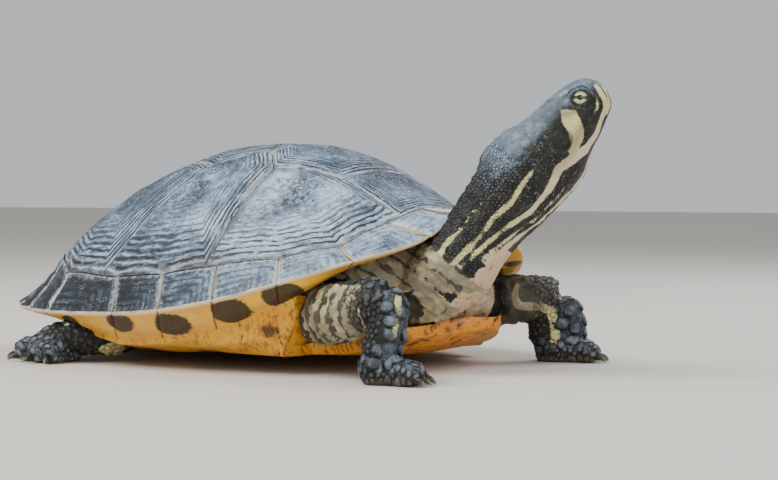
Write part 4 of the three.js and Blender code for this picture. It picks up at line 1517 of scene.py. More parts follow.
        def place(_: Array, u: Array, v: Array) -> tuple[Array, Facts]:
            """Place the lobe's points.

            Args:
                u: how far across each grid.
                v: how far along each grid.

            Returns:
                The points and their facts.
            """
            cap = 1 / rows
            t = between_ends(v, cap)
            path = curve.at(t)
            x, half = path[:, 0], path[:, 1]
            z = self.level(x)
            begins, over, height, slope, end = self.lip
            lip = height * clip((x - begins) / over, 0, 1) * (1 - end * smooth(x, 88, 103))
            top = z + self.thickness + smooth(t, 0.85, 1.0)
            corners = [(0 * x, top), (0.5 * half, top), (half - 3, top + slope * lip),
                       (half + 0.8, z + 0.75 * self.thickness + lip),
                       (half + 0.4, z + 0.4 * self.thickness + 0.4 * lip),
                       (half - 1.4, z + 0.2), (half * 0.6, z), (0 * x, z - self.keel)]
            right = array([stack(c, axis=-1) for c in corners])
            ring = np.concatenate([right, (right * (-1, 1))[-2:0:-1]])
            y, height = self.closed_ring(ring, u, v, cap).T
            facts = self.facts(on_shell(x, y, height + self.raised(x, y)), x, y)
            z = height + 0.35 * bell(facts["seam"], 0.5) * (height < z + self.thickness / 2)
            return on_shell(x, y, z + self.raised(x, y)), facts

        return place

    def middle_place(self, _: Array, u: Array, v: Array) -> tuple[Array, Facts]:
        """The middle of the belly with both bridges.

        Args:
            u: round the section.
            v: from its front to its rear.

        Returns:
            Its points and facts.
        """
        cap = 1 / self.bridge_rows
        t = between_ends(v, cap)
        x, lean = Spline(array(self.bridge, float)).at(t).T
        z = self.level(x)
        wing, rim = (np.interp(-(x + lean), -self.edge[:, 0], self.edge[:, k]) for k in (1, 2))
        none = zeros_like(x)
        corners = [(x, none, z + self.thickness), (x, none + 50, z + self.thickness),
                   (x + lean, wing - 5, rim - 0.2), (x + lean, wing + 0.3, rim + 0.3),
                   (x + lean, wing - 0.6, rim - 2),
                   (x + lean / 2, minimum(wing - 0.6, 70.6), lerp(rim, z, 0.66)),
                   (x, none + 60, z - 0.3), (x, none + 30, z), (x, none, z - self.keel)]
        right = array([stack(c, axis=-1) for c in corners])
        ring = np.concatenate([right, (right * (1, -1, 1))[-2:0:-1]])
        px, y, pz = self.closed_ring(ring, u, v, cap).T
        points = on_shell(px, y, pz)
        facts = self.facts(points, px, y)
        facts["front"] = 0.22 + facts["front"] * 0.4
        pz = pz + 0.35 * bell(facts["seam"], 0.5) * (pz < z + 1)
        return on_shell(px, y, pz), facts


# ---------------------------------------------------------------- flesh
@dataclass(frozen=True)
class Tube:
    """A closed, bent body with a half size up, down and to the side at each station."""

    name: str
    stations: tuple[tuple[float, ...], ...]  # x, y, z, up, down, side
    across: tuple[float, float, float]
    fullness: float = 2.2

    def axes(self, t: Array) -> tuple[Array, Array, Array, Array, Array]:
        """Middle, forward, side and back directions, and sizes, at shares of the length.

        Args:
            t: shares of the length.

        Returns:
            The five, one row for each share.
        """
        table = array(self.stations, float)
        path, sizes = Spline(table[:, :3], True), Spline(table[:, 3:])
        step = 1e-4
        forward = unit(path.at(minimum(t + step, 1)) - path.at(maximum(t - step, 0)))
        across = array(self.across, float)
        side = unit(across - forward * (forward @ across)[:, None])
        return path.at(t), forward, side, np.cross(side, forward), sizes.at(t)

    def place(self, inset: float) -> Place:
        """The tube's surface, moved in by an inset.

        Args:
            inset: how far in from the tube's own surface.

        Returns:
            What places the grid's points.
        """
        def place(_: Array, u: Array, v: Array) -> tuple[Array, Facts]:
            """Place the tube's points; the first and last rows close its ends.

            Args:
                u: how far across each grid.
                v: how far along each grid.

            Returns:
                The points; a tube keeps no facts.
            """
            edge = 0.02
            t = between_ends(v, edge)
            middle, _, side, back, sizes = self.axes(t)
            sizes = maximum(sizes - inset, 0.3) * ~at_ends(v, 2e-6)[:, None]
            c, s = cos(u * math.tau), sin(u * math.tau)
            power = 2 / self.fullness
            wide = sizes[:, 2] * np.sign(c) * abs(c) ** power
            tall = where(s > 0, sizes[:, 0], sizes[:, 1]) * np.sign(s) * abs(s) ** power
            return middle + side * wide[:, None] + back * tall[:, None], {}

        return place

    def mesh(self, inset: float, columns: int = 40, rows: int = 60) -> bpy.types.Mesh:
        """The tube as a closed mesh in millimetres."""
        return grids(self.name, columns, rows, self.place(inset))


def along_head(*stations: tuple[float, float, float, float]) -> tuple[tuple[float, ...], ...]:
    """Stations along the neck's and head's straight axis."""
    return tuple((*on_head([along, 0, 0]), up, down, side) for along, up, down, side in stations)


def heading(angle: float) -> Array:
    """A level direction, in degrees from straight ahead towards the left."""
    return array([math.cos(math.radians(angle)), math.sin(math.radians(angle)), 0.0])


@dataclass(frozen=True)
class Foot:
    """A foot flat on the floor, with its toes and claws."""

    name: str
    at: tuple[float, float]
    heading: float
    heel: float
    palm: float
    half: float
    height: float
    toes: int
    toe: float
    skew: float
    spread: float
    claw: float
    thick: float

    def toe_angle(self, i: int) -> float:
        """Which way a toe points, in degrees."""
        return self.heading + self.spread * (i / (self.toes - 1) - 0.5)

    def step(self, base: Array, way: Array, distance: float, z: float) -> tuple[float, float, float]:
        """A place some way along a level direction, at a height."""
        point = base + way * distance
        return (point[0], point[1], z)

    def toe_root(self, i: int) -> Array:
        """Where a toe grows from the palm, on the floor.

        Args:
            i: the toe's number.

        Returns:
            The place.
        """
        sideways = self.half * 1.4 * (i / (self.toes - 1) - 0.5)
        return (array([*self.at, 0.0]) + heading(self.heading) * self.palm * 0.7
                + heading(self.heading + 90) * sideways)

    def toe_length(self, i: int) -> float:
        """How long a toe is."""
        place = i / (self.toes - 1) - 0.5
        return self.toe * (1 - 0.32 * abs(place)) * (1 - self.skew * place)

    def toe_tube(self, i: int) -> Tube:
        """One toe.

        Args:
            i: the toe's number.

        Returns:
            Its tube.
        """
        way, root, length, k = heading(self.toe_angle(i)), self.toe_root(i), self.toe_length(i), self.thick
        return Tube(f"{self.name}_toe_{i + 1}", (
            (*self.step(root, way, -3, 4.2), 4.8 * k, 5, 3.1 * k),
            (*self.step(root, way, length * 0.5, 4.2), 4.0 * k, 4.8, 2.9 * k),
            (*self.step(root, way, length * 0.82, 3.4), 3.4 * k, 4.0, 2.6 * k),
            (*self.step(root, way, length * 1.0, 2.5), 2.4 * k, 3.2, 1.9 * k)),
            tuple(heading(self.toe_angle(i) - 90)))

    def palm_tube(self) -> Tube:
        """The foot without its toes.

        Returns:
            Its tube.
        """
        way, base, h, half = heading(self.heading), array([*self.at, 0.0]), self.height, self.half
        return Tube(f"{self.name}_palm", (
            (*self.step(base, way, -self.heel, h * 0.34), h * 0.3, h * 0.42, half * 0.55),
            (*self.step(base, way, -self.heel * 0.5, h * 0.4), h * 0.52, h * 0.5, half * 0.92),
            (*self.step(base, way, self.palm * 0.3, h * 0.36), h * 0.5, h * 0.46, half),
            (*self.step(base, way, self.palm, h * 0.3), h * 0.3, h * 0.4, half * 1.05),
            (*self.step(base, way, self.palm + 2.5, h * 0.24), h * 0.12, h * 0.3, half * 0.9)),
            tuple(heading(self.heading - 90)))

    def claw_tube(self, i: int) -> Tube:
        """One claw, curving down from its toe's end.

        Args:
            i: the toe's number.

        Returns:
            Its tube.
        """
        way = heading(self.toe_angle(i))
        end = self.toe_root(i) + way * self.toe_length(i)
        return Tube(f"{self.name}_claw_{i + 1}", (
            (*self.step(end, way, -1.0, 2.5), 1.5, 1.3, 1.25),
            (*self.step(end, way, 0.3, 2.4), 1.35, 1.2, 1.15),
            (*self.step(end, way, 0.3 + self.claw * 0.55, 2.0), 0.95, 0.85, 0.75),
            (*self.step(end, way, 0.3 + self.claw * 0.85, 1.25), 0.5, 0.5, 0.42),
            (*self.step(end, way, 0.3 + self.claw, 0.75), 0.14, 0.14, 0.12)),
            tuple(heading(self.toe_angle(i) - 90)))


@dataclass(frozen=True)
class Limb:
    """One leg: two tubes and a foot."""

    name: str
    across: tuple[float, float, float]
    across_lower: tuple[float, float, float]
    upper: tuple[tuple[float, ...], ...]
    lower: tuple[tuple[float, ...], ...]
    foot: Foot

    def tubes(self) -> list[Tube]:
        """All of the leg's tubes, from the body outwards.

        Returns:
            Upper leg, lower leg, palm and toes.
        """
        return [Tube(f"{self.name}_upper", self.upper, self.across),
                Tube(f"{self.name}_lower", self.lower, self.across_lower),
                self.foot.palm_tube(), *(self.foot.toe_tube(i) for i in range(self.foot.toes))]


LIMBS = (
    Limb("fore_right", (0.45, -0.85, 0.25), (0.45, -0.85, 0.25),
         ((66, -40, 21, 11, 11, 12), (80, -48, 23, 11.5, 12, 11), (95, -54, 25.5, 10.5, 11.5, 9.5),
          (108, -57, 29, 8.6, 9, 7.5), (113.5, -57.3, 30.6, 7.6, 8, 6.8)),
         ((113.8, -57.3, 30.6, 7.2, 7.6, 6.8), (117, -57, 26.5, 6.8, 7, 6.4), (116, -58, 18, 7.2, 7.2, 6.2),
          (114, -59.6, 9.5, 7.2, 7.2, 6)),
         Foot("fore_right", (114, -59.6), 32, 6.5, 11.5, 7.2, 12.5, 5, 8, 0, 54, 4.2, 1.1)),
    Limb("fore_left", (-0.55, -0.8, 0.1), (0.65, -0.75, 0.1),
         ((66, 36, 21, 11, 11, 12), (80, 44, 23.5, 10.5, 11, 11), (92, 51, 25.8, 9.6, 10.4, 10),
          (101, 57.5, 26.6, 8.2, 9, 8.6), (104.5, 60, 26.2, 7.6, 8.4, 8)),
         ((104.3, 60, 25.5, 8.5, 8.5, 8), (104.6, 60.6, 20, 11, 11, 7.4), (104.4, 61.2, 14.5, 12, 12, 7),
          (104.2, 61.8, 8.6, 12, 12, 7)),
         Foot("fore_left", (105, 62.6), 42, 10, 11, 8.6, 12.5, 5, 8, 0, 60, 4, 1.1)),
    Limb("hind_right", (0.75, -0.3, 0.6), (0.75, -0.3, 0.6),
         ((-52, -38, 16.5, 9, 9, 11), (-38, -48, 14, 9, 9, 10), (-26, -57.5, 11.3, 7.6, 8, 8),
          (-20.5, -63.5, 9.4, 6.6, 7, 7)),
         ((-20.3, -64, 9.3, 6.6, 7, 7), (-21.5, -70, 9.5, 7, 7.2, 7), (-26, -77, 10.5, 7.6, 8, 7.8),
          (-32, -83, 10.5, 8, 8, 9.5)),
         Foot("hind_right", (-37, -82), -108, 9, 7.5, 11.5, 17, 4, 9, 0.6, 100, 4.6, 1.4)),
    Limb("hind_left", (-0.75, -0.3, -0.6), (-0.75, -0.3, -0.6),
         ((-52, 38, 16, 9, 9, 11), (-40, 50, 13.6, 9, 9, 10), (-31, 60, 11.4, 7.6, 8, 8),
          (-28, 67, 9.8, 6.8, 7, 7)),
         ((-28, 67.6, 9.7, 6.8, 7, 7), (-32, 74, 9.6, 7, 7.2, 7), (-41, 80, 9.8, 7.4, 7.6, 7.6),
          (-49, 84, 9.4, 7, 7.2, 8)),
         Foot("hind_left", (-52, 85), 148, 7, 7, 11, 13.5, 4, 9.5, -0.4, 84, 4.6, 1.25)),
)

NECK_AND_HEAD = Tube("neck_and_head", (
    (78, -3, 32, 11, 13, 27), (93, -5, 33.5, 14, 15, 26),
    *along_head((2, 14.5, 16, 21.5), (12, 13.8, 14.3, 17), (24, 15, 14.2, 15.2), (33, 16.2, 15.6, 14.8),
                (41, 18.9, 16.3, 15.2), (52, 18, 17, 15.6), (57.3, 15.8, 16.8, 15.6),
                (62.5, 14.3, 14.8, 15.2), (67.3, 13.6, 12.6, 14.0), (72.5, 12.8, 11.7, 12.2),
                (78.5, 11.4, 9.9, 10.6), (82.5, 10.0, 8.7, 8.6), (85.2, 8.2, 7.2, 6.6),
                (87.0, 5.9, 3.6, 4.6), (88.0, 4.2, 0.6, 2.6))),
    tuple(HEAD_RIGHT))
TAIL = Tube("tail", (
    (-88, 0, 17, 9, 9, 11), (-102, 1, 12.6, 6.2, 6.6, 7.5), (-114, 3, 9.4, 4.6, 4.8, 5),
    (-126, 7.5, 6.4, 3.2, 3.4, 3.4), (-136, 12.5, 4.2, 2.1, 2.2, 2.2), (-143, 17.5, 2.9, 0.9, 1, 0.9)),
    (0, 1, 0))


class Region(IntEnum):
    """Where on the body a point of skin lies."""

    TRUNK = 0
    NECK = 1
    TAIL = 2
    UPPER_LEG = 3
    LOWER_LEG = 4
    PALM = 5
    TOE = 6


@dataclass
class BodyMap:
    """Finds the tube that each point of skin belongs to, and its place on it."""

    samples: int = 28

    def __post_init__(self) -> None:
        """Sample every tube once."""
        self.tubes = [NECK_AND_HEAD, TAIL, *(tube for limb in LIMBS for tube in limb.tubes())]
        self.regions = [Region.NECK, Region.TAIL]
        for limb in LIMBS:
            self.regions += [Region.UPPER_LEG, Region.LOWER_LEG, Region.PALM]
            self.regions += [Region.TOE] * limb.foot.toes

    def locate(self, points: Array) -> dict[str, Array]:
        """Place points on their tubes.

        Args:
            points: places in the turtle's frame.

        Returns:
            For each point its tube, region, share t along it, angle round it and the way the
            tube runs.
        """
        best = full(len(points), 1.25)
        found = {"tube": full(len(points), -1), "t": np.zeros(len(points)),
                 "angle": np.zeros(len(points)), "forward": np.tile([1.0, 0, 0], (len(points), 1))}
        shares = np.linspace(0, 1, self.samples)
        for number, tube in enumerate(self.tubes):
            middle, forward, side, back, sizes = tube.axes(shares)
            for j, t in enumerate(shares):
                away = points - middle[j]
                along, out, up = away @ forward[j], away @ side[j], away @ back[j]
                tall = where(up > 0, sizes[j, 0], sizes[j, 1])
                ratio = sqrt((out / sizes[j, 2]) ** 2 + (up / tall) ** 2 + (along / sizes[j, 2]) ** 2)
                closer = ratio < best
                best = where(closer, ratio, best)
                found["tube"] = where(closer, number, found["tube"])
                found["t"] = where(closer, t, found["t"])
                found["angle"] = where(closer, arctan2(out, up), found["angle"])
                found["forward"] = where(closer[:, None], forward[j], found["forward"])
        found["region"] = array([*self.regions, Region.TRUNK])[found["tube"]]
        return found


@dataclass(frozen=True)
class Stripe:
    """A pale stripe through knots (three places and a half width each)."""

    knots: tuple[tuple[float, float, float, float], ...]
    both_sides: bool = True

    def distance(self, points: Array) -> Array:
        """Distance to the stripe's edge, less than zero inside it.

        Args:
            points: places in the stripe's frame.

        Returns:
            One distance for each place.
        """
        table = array(self.knots, float)
        best = polyline_distance(points, table[:, :3], table[:, 3])
        if self.both_sides:
            mirror = points * (1, 1, -1)
            best = minimum(best, polyline_distance(mirror, table[:, :3], table[:, 3]))
        return best


@dataclass
class Markings:
    """The stripes and blotches that skin and scales share, with their painted reflection and painted shade.
    """

    head_stripes: tuple[Stripe, ...] = (
        Stripe(((26, 6.5, 13.5, 0.3), (22.7, 6.7, 14.0, 0.8), (12.9, 6.7, 15.6, 1.0), (5.9, 6.7, 17.4, 1.3),
                (-1.1, 5.6, 19.3, 1.6), (-9.1, 7.1, 15.7, 1.8))),
        Stripe(((48.8, -0.7, 15.4, 0.2), (41.8, -0.7, 15.1, 1.1), (33, -2, 14.5, 1.0),
                (24.6, -0.3, 15.1, 1.0), (15.9, -1.2, 16.2, 1.0), (3, -0.1, 19.7, 1.2),
                (-9.2, 2.1, 17.4, 1.6))),
        Stripe(((61, -9.4, 12.3, 2.1), (55.7, -8.2, 14, 1.8), (53.4, -7.7, 14.2, 1.7),
                (45.8, -9.6, 12.6, 1.35), (35.7, -9.8, 12, 1.15), (26.1, -7, 13.5, 1.0),
                (16, -4.8, 15.4, 1.0), (3.2, -2.6, 19.1, 1.2),
                (-7.2, -1.4, 17.9, 1.4))),
        Stripe(((73, -11.6, 2.5, 0.6), (66, -13.6, 3.6, 1.0), (61.7, -14.7, 4.2, 1.2),
                (52, -16.3, 4.0, 1.3),
                (43.3, -15.6, 4.2, 1.1), (34, -14.6, 5.4, 1.1), (25.1, -12.3, 7.9, 1.2),
                (12, -10, 12, 1.6))),
        Stripe(((58, -12.6, 9.5, 0.2), (46, -13.4, 8.6, 0.5), (34, -12.6, 8.8, 0.45), (22, -9.6, 11.5, 0.6),
                (10, -7.0, 15.6, 0.8))),
        Stripe(((86.5, 1.6, 5.6, 1.1), (85.4, -1.5, 6.2, 1.5), (84.2, -4.8, 6.0, 1.6), (82, -6.8, 5.6, 1.5),
                (79, -7.6, 6.4, 1.5), (76, -8.8, 6.6, 1.6), (72, -10.2, 6.6, 1.7), (66, -10.8, 8.6, 1.8),
                (61, -9.4, 12.3, 2.0))),
        Stripe(((87.6, -0.4, 2.6, 0.5), (86.6, -3.0, 3.4, 0.8), (84.6, -6.2, 3.8, 0.9),
                (81, -8.0, 4.2, 0.7))),
        Stripe(((82.9, -1.7, 8.2, 0.4), (80.1, -4.1, 9.0, 0.5), (77, -4.8, 10.2, 0.35),
                (74.3, -5, 10.8, 0.2))),
        Stripe(((84, 5.6, 4.5, 0.1), (78, 9.0, 3.2, 0.25), (70, 12.0, 3.0, 0.15))),
    )
    cheek: tuple[tuple[float, float], ...] = (
        (70.6, 6.0), (74.0, 1.6), (71.8, -3.0), (70.6, -5.6), (68.1, -7.1), (63.5, -8.7), (60.4, -9.8),
        (60.6, -6.2), (63, -5.6), (66.3, -2.1), (68.0, 2.8))
    leg_stripes: tuple[Stripe, ...] = (
        Stripe(((96.4, 44.4, 31.1, 1.0), (96.7, 42.6, 26.3, 1.4), (97.9, 43.5, 23.1, 1.6),
                (103.7, 49.2, 22.6, 1.9), (106.7, 53.3, 21.3, 1.9), (107.6, 54.7, 15.6, 1.8),
                (107.3, 55.8, 8.7, 1.7)), False),
        Stripe(((121.5, -57.8, 31.5, 1.2), (122, -59.0, 29.4, 1.3), (122.5, -59.6, 24.9, 1.2),
                (122.2, -60.2, 20.5, 1.0), (121.8, -60.6, 16.5, 0.5)), False),
        Stripe(((80.7, -37.2, 36.8, 2.4), (84.2, -34.9, 36.8, 2.8)), False),
        Stripe(((90, -59.3, 32.7, 1.5), (94, -60.5, 33.0, 1.4)), False),
        Stripe(((103.0, -60.5, 33.0, 1.4), (106.5, -62.0, 33.5, 1.6)), False),
    )
    pocket_period: float = 6.6
    pocket_phase: float = 76.0

    def facts(self, points: Array, place: dict[str, Array]) -> Facts:
        """What the hide's finish reads at each point.

        Args:
            points: places in the turtle's frame.
            place: where the points lie, from the body map.

        Returns:
            The distance to a stripe, and shares of warmth, painted reflection (painted_sheen), dust, sole
            and painted shade (dim).
        """
        head = in_head(points)
        along, up, out = head.T
        region, t, angle = place["region"], place["t"], place["angle"]
        wobble = roughness_at(points, 7.0, 3)
        neck = (region == Region.NECK) | (region == Region.TRUNK)
        stripe = full(len(points), 9.0)

        def lay(here: Array | bool, gap: Array) -> None:
            """Lay a stripe over the others, in some places only."""
            minimum(stripe, gap, out=stripe, where=here)

        for line in self.head_stripes:
            lay(neck, line.distance(head))
        cheek = polygon_distance(stack([along, up], axis=-1), array(self.cheek))
        lay(neck & (abs(out) > 6), cheek + 0.2 * wobble)
        for line in self.leg_stripes:
            lay(True, line.distance(points))
        throat = smooth(-up, 6.0, 11.0) * smooth(26 - along, 0, 16) * neck
        streaks = sin(arctan2(out, -up) * 19 + 3.4 * wobble) + 0.5 * sin(along * 0.9 + 4 * wobble)
        pale = lerp(3.0, -1.0 + 1.25 * smooth(streaks, 0.55, 1.2), minimum(1, throat * 1.6))
        lay(throat > 0.02, pale)
        x, y, z = points.T
        pocket = smooth(x, 58, 66) * smooth(112 - x, 0, 8) * smooth(abs(y), 38, 48) * smooth(36 - z, 0, 4)
        pocket = pocket * ((region == Region.UPPER_LEG) | (region == Region.TRUNK))
        place_in_wave = x - self.pocket_phase - 0.010 * (z - 22) ** 2 + 3.0 * wobble
        wave = cos(math.tau * place_in_wave / self.pocket_period)
        vein = bell(abs(wave) - 0.35, 0.1) * 1.3 + 0.5 * bell(roughness_at(points, 3.0, 3), 0.12)
        lay((pocket > 0.3) & (y < 0), (-0.4 - wave) * 1.6 + vein)
        base = smooth(x, 78, 90) * smooth(118 - x, 0, 8) * smooth(38 - abs(y), 0, 6)
        base = base * (region != Region.LOWER_LEG) * smooth(34 - z, 0, 5) * (along < 8)
        net = cos(math.tau * (y + 0.6 * z + 2.0 * wobble) / 8.0)
        lay(base > 0.4, (-0.62 - net) * 2.0)
        collar = neck & (along < 2) & (z > 31)
        bands = cos(math.tau * (0.55 * x + z - 0.5 * abs(y) + 1.8 * wobble) / 6.5)
        lay(collar, (-0.68 - bands) * 2.0)
        rear = (region == Region.TAIL) | (region == Region.TRUNK) & (x < -60)
        tail_lines = abs(abs(angle) - 1.25) * 5 * (1 - 0.6 * t) - 0.7
        lay(rear, tail_lines + 0.5 * wobble)
        hind = isin(region, (Region.UPPER_LEG, Region.LOWER_LEG)) & (x < 0)
        thigh = abs(sin(angle * 1.5 + 0.8)) * 7 - 0.55
        lay(hind, thigh + 1.2 * wobble + 0.8)
        patch = norm((points - (-15.5, -68.5, 5.0)) / (6.5, 9.0, 3.4), axis=1) - 1
        lay(hind, patch * 3)
        warm = 0.1 + 0.75 * smooth(-up, 5, 10) * neck + 0.5 * throat + 0.4 * smooth(22 - z, 0, 12) * pocket
        # dim is painted shade where the neck and legs go in under the shell: the collar, the shoulder
        # pockets and the neck's base
        dim = maximum.reduce([1.0 * collar, 0.8 * (pocket > 0.3), 0.7 * (base > 0.4)])
        # painted reflection: the nape and crown, the upper head, the fore legs' upper sides and elbows, and
        # the hind feet are painted lighter and bluer
        crown_painted_sheen = smooth(up, 2.0, 9.0) * smooth(along, 24, 46) * neck
        crown_painted_sheen = crown_painted_sheen + 0.65 * smooth(along, 70, 80) * smooth(up, -3, 3) * neck
        fore = isin(region, (Region.LOWER_LEG, Region.PALM, Region.TOE)) & (x > 0)
        leg_painted_sheen = where(fore, 0.5 * smooth(cos(angle), -0.5, 0.4), 0)
        hind_foot = isin(region, (Region.PALM, Region.TOE)) & (x < 0)
        leg_painted_sheen = where(hind_foot, 0.5, leg_painted_sheen)
        elbow = (region == Region.UPPER_LEG) & (x > 0)
        leg_painted_sheen = where(elbow, 0.4 * smooth(t, 0.72, 0.95), leg_painted_sheen)
        dusty = 0.35 + 0.5 * smooth(along, 15, 40) * neck * smooth(66 - along, 0, 8) + 0.3 * wobble
        sole = smooth(3.2 - z, 0, 2.6) * isin(region, (Region.PALM, Region.TOE, Region.LOWER_LEG))
        return {"stripe": stripe, "warm": clip(warm, 0, 1.6), "painted_sheen": clip(crown_painted_sheen + leg_painted_sheen, 0, 1),
                "dusty": clip(dusty, 0, 1), "sole": clip(sole, 0, 1),
                "dim": clip(dim + 0.5 * wobble * (dim > 0), 0, 1)}


@dataclass
class Skin:
    """One skin over trunk, neck, head, tail and legs, with lids, folds, mouth and nostrils."""

    body: BodyMap
    markings: Markings
    inset: float = 0.45  # the coat's depth
    voxel: float = 1.12
    columns: int = 44
    rows: int = 56
    neck_rows: int = 90
    trunk_grid: tuple[int, int] = (80, 110)
    trunk: tuple[float, float, float] = (103, -97, 1.6)  # front, rear, clearance
    trunk_width: tuple[tuple[float, float], ...] = (
        (103, 16), (99, 25), (92, 35), (84, 42), (74, 47), (60, 60), (46, 62), (-6, 60), (-20, 54),
        (-40, 47), (-70, 37), (-88, 25), (-97, 11))
    head_from: float = 50.0  # where the head starts along its axis
    head_reach: float = 30.0  # and how far it reaches from the axis
    fine_from: float = 55.0  # the head's faces are smaller from here on
    fine_reach: float = 9.0  # and smaller still this near an eye's middle
    lid_gap: float = 0.62  # the lids' thickness over the eyeball
    opening: tuple[float, float] = (3.2, 2.7)  # half sizes between the lids
    ear: tuple[float, float] = (62.6, -1.5)  # along and up
    nostril: tuple[float, float, float] = (87.3, 1.9, 1.25)
    mouth: tuple[tuple[float, float, float], ...] = (
        (88.4, -1.0, 0.0), (87.0, -3.6, 2.6), (84.6, -7.6, 3.2), (81, -9.0, 3.4), (77, -10.2, 3.9),
        (72, -11.6, 4.9), (67.5, -12.0, 7.2), (64.5, -11.0, 9.8))

    def build(self) -> bpy.types.Mesh:
        """Make and dress the skin.

        Returns:
            A copy of its mesh in millimetres, for the scales to lie on.
        """
        tubes = self.body.tubes
        meshes = [tube.mesh(self.inset, self.columns,
                            self.neck_rows if tube is NECK_AND_HEAD else self.rows) for tube in tubes]
        meshes.append(grids("trunk", *self.trunk_grid, self.trunk_place))
        mesh = joined("skin", meshes)
        mesh = modified(mesh, "REMESH", {"mode": "VOXEL", "voxel_size": self.voxel, "adaptivity": 0.0})
        mesh = modified(mesh, "SMOOTH", {"factor": 0.5, "iterations": 5})
        mesh = self.refined(mesh)
        points = read_points(mesh)
        place = self.body.locate(points)
        normals = read_normals(mesh)
        points = self.folded(points, normals, place)
        points = self.faced(points)
        z = points[:, 2]
        points[:, 2] = where(z < 0.9, maximum(0.0, (z - 0.15) * 1.2), z)  # the soles lie flat on the floor
        write_points(mesh, points)
        mesh = modified(mesh, "SMOOTH", {"factor": 0.25, "iterations": 1})
        points = read_points(mesh)
        points[:, 2] = maximum(points[:, 2], 0.0)
        write_points(mesh, points)
        self.keep_out_of_shell(mesh)
        points = read_points(mesh)
        # crease holds the painted shade of the head's folds
        write_facts(mesh, self.markings.facts(points, place) | {"crease": self.creases(points)})
        under = mesh.copy()
        nodes = ["trunk", "neck", "head", "tail"]
        nodes += [f"{limb.name}_{part}" for limb in LIMBS for part in ("upper_leg", "lower_leg", "foot")]
        make_piece("skin", mesh, Hide("hide", False).material(), nodes)
        return under

    def trunk_place(self, _: Array, u: Array, v: Array) -> tuple[Array, Facts]:
        """The trunk between the plates, slim where it never shows.

        Args:
            u: round the section.
            v: from its front to its rear.

        Returns:
            Its points.
        """
        front, rear, clear = self.trunk
        edge = 0.01
        x = lerp(front, rear, between_ends(v, edge))
        table = array(self.trunk_width, float)[::-1]
        half = np.interp(x, table[:, 0], table[:, 1])
        to_end = minimum(minimum((front + 2 - x) / 16, (x - rear + 4) / 22), 1)
        round_end = sqrt(maximum(0, 1 - (1 - to_end) ** 2)) * ~at_ends(v, 2e-6)
        s = where(u < 0.5, 1 - 4 * u, 4 * u - 3)
        slim = 1 - 0.45 * smooth(x, -62, -40) * smooth(52 - x, 0, 18)
        y = s * half * slim * where(round_end > 0, 1, 0)
        floor = Plastron().level(x) + 4.5 + clear + maximum(0, abs(y) - 46) * 0.36
        under = minimum(SHELL.underside(x, y), SHELL.underside(x + np.sign(x) * 3, y))
        roof = maximum(floor + 3, under - clear)
        middle = lerp(floor, roof, 0.42)
        share = sqrt(maximum(0, 1 - s ** 4)) * round_end * slim
        return on_shell(x, y, lerp(middle, where(u < 0.5, roof, floor), share)), {}

    def of_head(self, head: Array) -> Array:
        """Whether points, given in the head's frame, lie on the head."""
        return (head[:, 0] > self.head_from) & (hypot(head[:, 1], head[:, 2]) < self.head_reach)

    def refined(self, mesh: bpy.types.Mesh) -> bpy.types.Mesh:
        """Give the head smaller faces, and the eyes' surrounds smaller ones still.

        Args:
            mesh: the remeshed skin.

        Returns:
            The same mesh, refined.
        """
        with shaping(mesh) as bm:
            for around_eyes in (False, True):
                bm.verts.ensure_lookup_table()
                head = in_head(array([v.co for v in bm.verts]))
                to_eye = norm(head * (1, 1, 0) + abs(head) * (0, 0, 1) - EYE, axis=1)
                chosen = to_eye < self.fine_reach if around_eyes else head[:, 0] > self.fine_from
                chosen &= self.of_head(head)
                inside = {v.index for v in bm.verts if chosen[v.index]}
                edges = [e for e in bm.edges if all(v.index in inside for v in e.verts)]
                bmesh.ops.subdivide_edges(bm, edges=edges, cuts=1, use_grid_fill=True, smooth=0.0)
                bm.verts.ensure_lookup_table()
                head = in_head(array([v.co for v in bm.verts]))
                chosen = (head[:, 0] > self.fine_from - 1) & self.of_head(head)
                near = [bm.verts[i] for i in np.nonzero(chosen)[0]]
                for _ in range(3):
                    bmesh.ops.smooth_vert(bm, verts=near, factor=0.5,
                                          use_axis_x=True, use_axis_y=True, use_axis_z=True)
            bmesh.ops.triangulate(bm, faces=[f for f in bm.faces if len(f.verts) > 4])
        return mesh

    def folded(self, points: Array, normals: Array, place: dict[str, Array]) -> Array:
        """Push the skin in and out along its folds and wrinkles.

        Args:
            points: places in the turtle's frame.
            normals: the way the skin faces.
            place: where the points lie.

        Returns:
            The moved points.
        """
        along, up, out = in_head(points).T
        x, y, z = points.T
        region, angle, t = place["region"], place["angle"], place["t"]
        wobble = roughness_at(points, 6.0, 3)
        around = arctan2(out, up)
        neck = (region == Region.NECK) * smooth(60 - along, 0, 12)
        push = 0.32 * neck * sin(around * 15 + 2.5 * wobble) * smooth(along, -30, 5)
        push += 0.22 * neck * sin(along * 1.5 + 3 * wobble) * smooth(cos(around), -0.2, 0.6)
        legs = isin(region, (Region.UPPER_LEG, Region.TRUNK)) * (abs(y) > 30) * (x > 40)
        push += 0.5 * legs * sin(math.tau * (x + 2.2 * wobble + 0.2 * z) / 5.4)
        collar = ((region == Region.TRUNK) | ((region == Region.NECK) & (along < 4))) * (x > 50)
        push += 0.45 * collar * sin(math.tau * (0.55 * x + z - 0.5 * abs(y) + 2.0 * wobble) / 3.75)
        push += 0.3 * (region == Region.TAIL) * sin(t * 95 + wobble) * (1 - 0.7 * t)
        hind = isin(region, (Region.UPPER_LEG, Region.LOWER_LEG)) & (x < 0)
        push += 0.3 * hind * sin(t * 40 + angle + 2 * wobble)
        return points + normals * (push + 0.12 * wobble)[:, None]

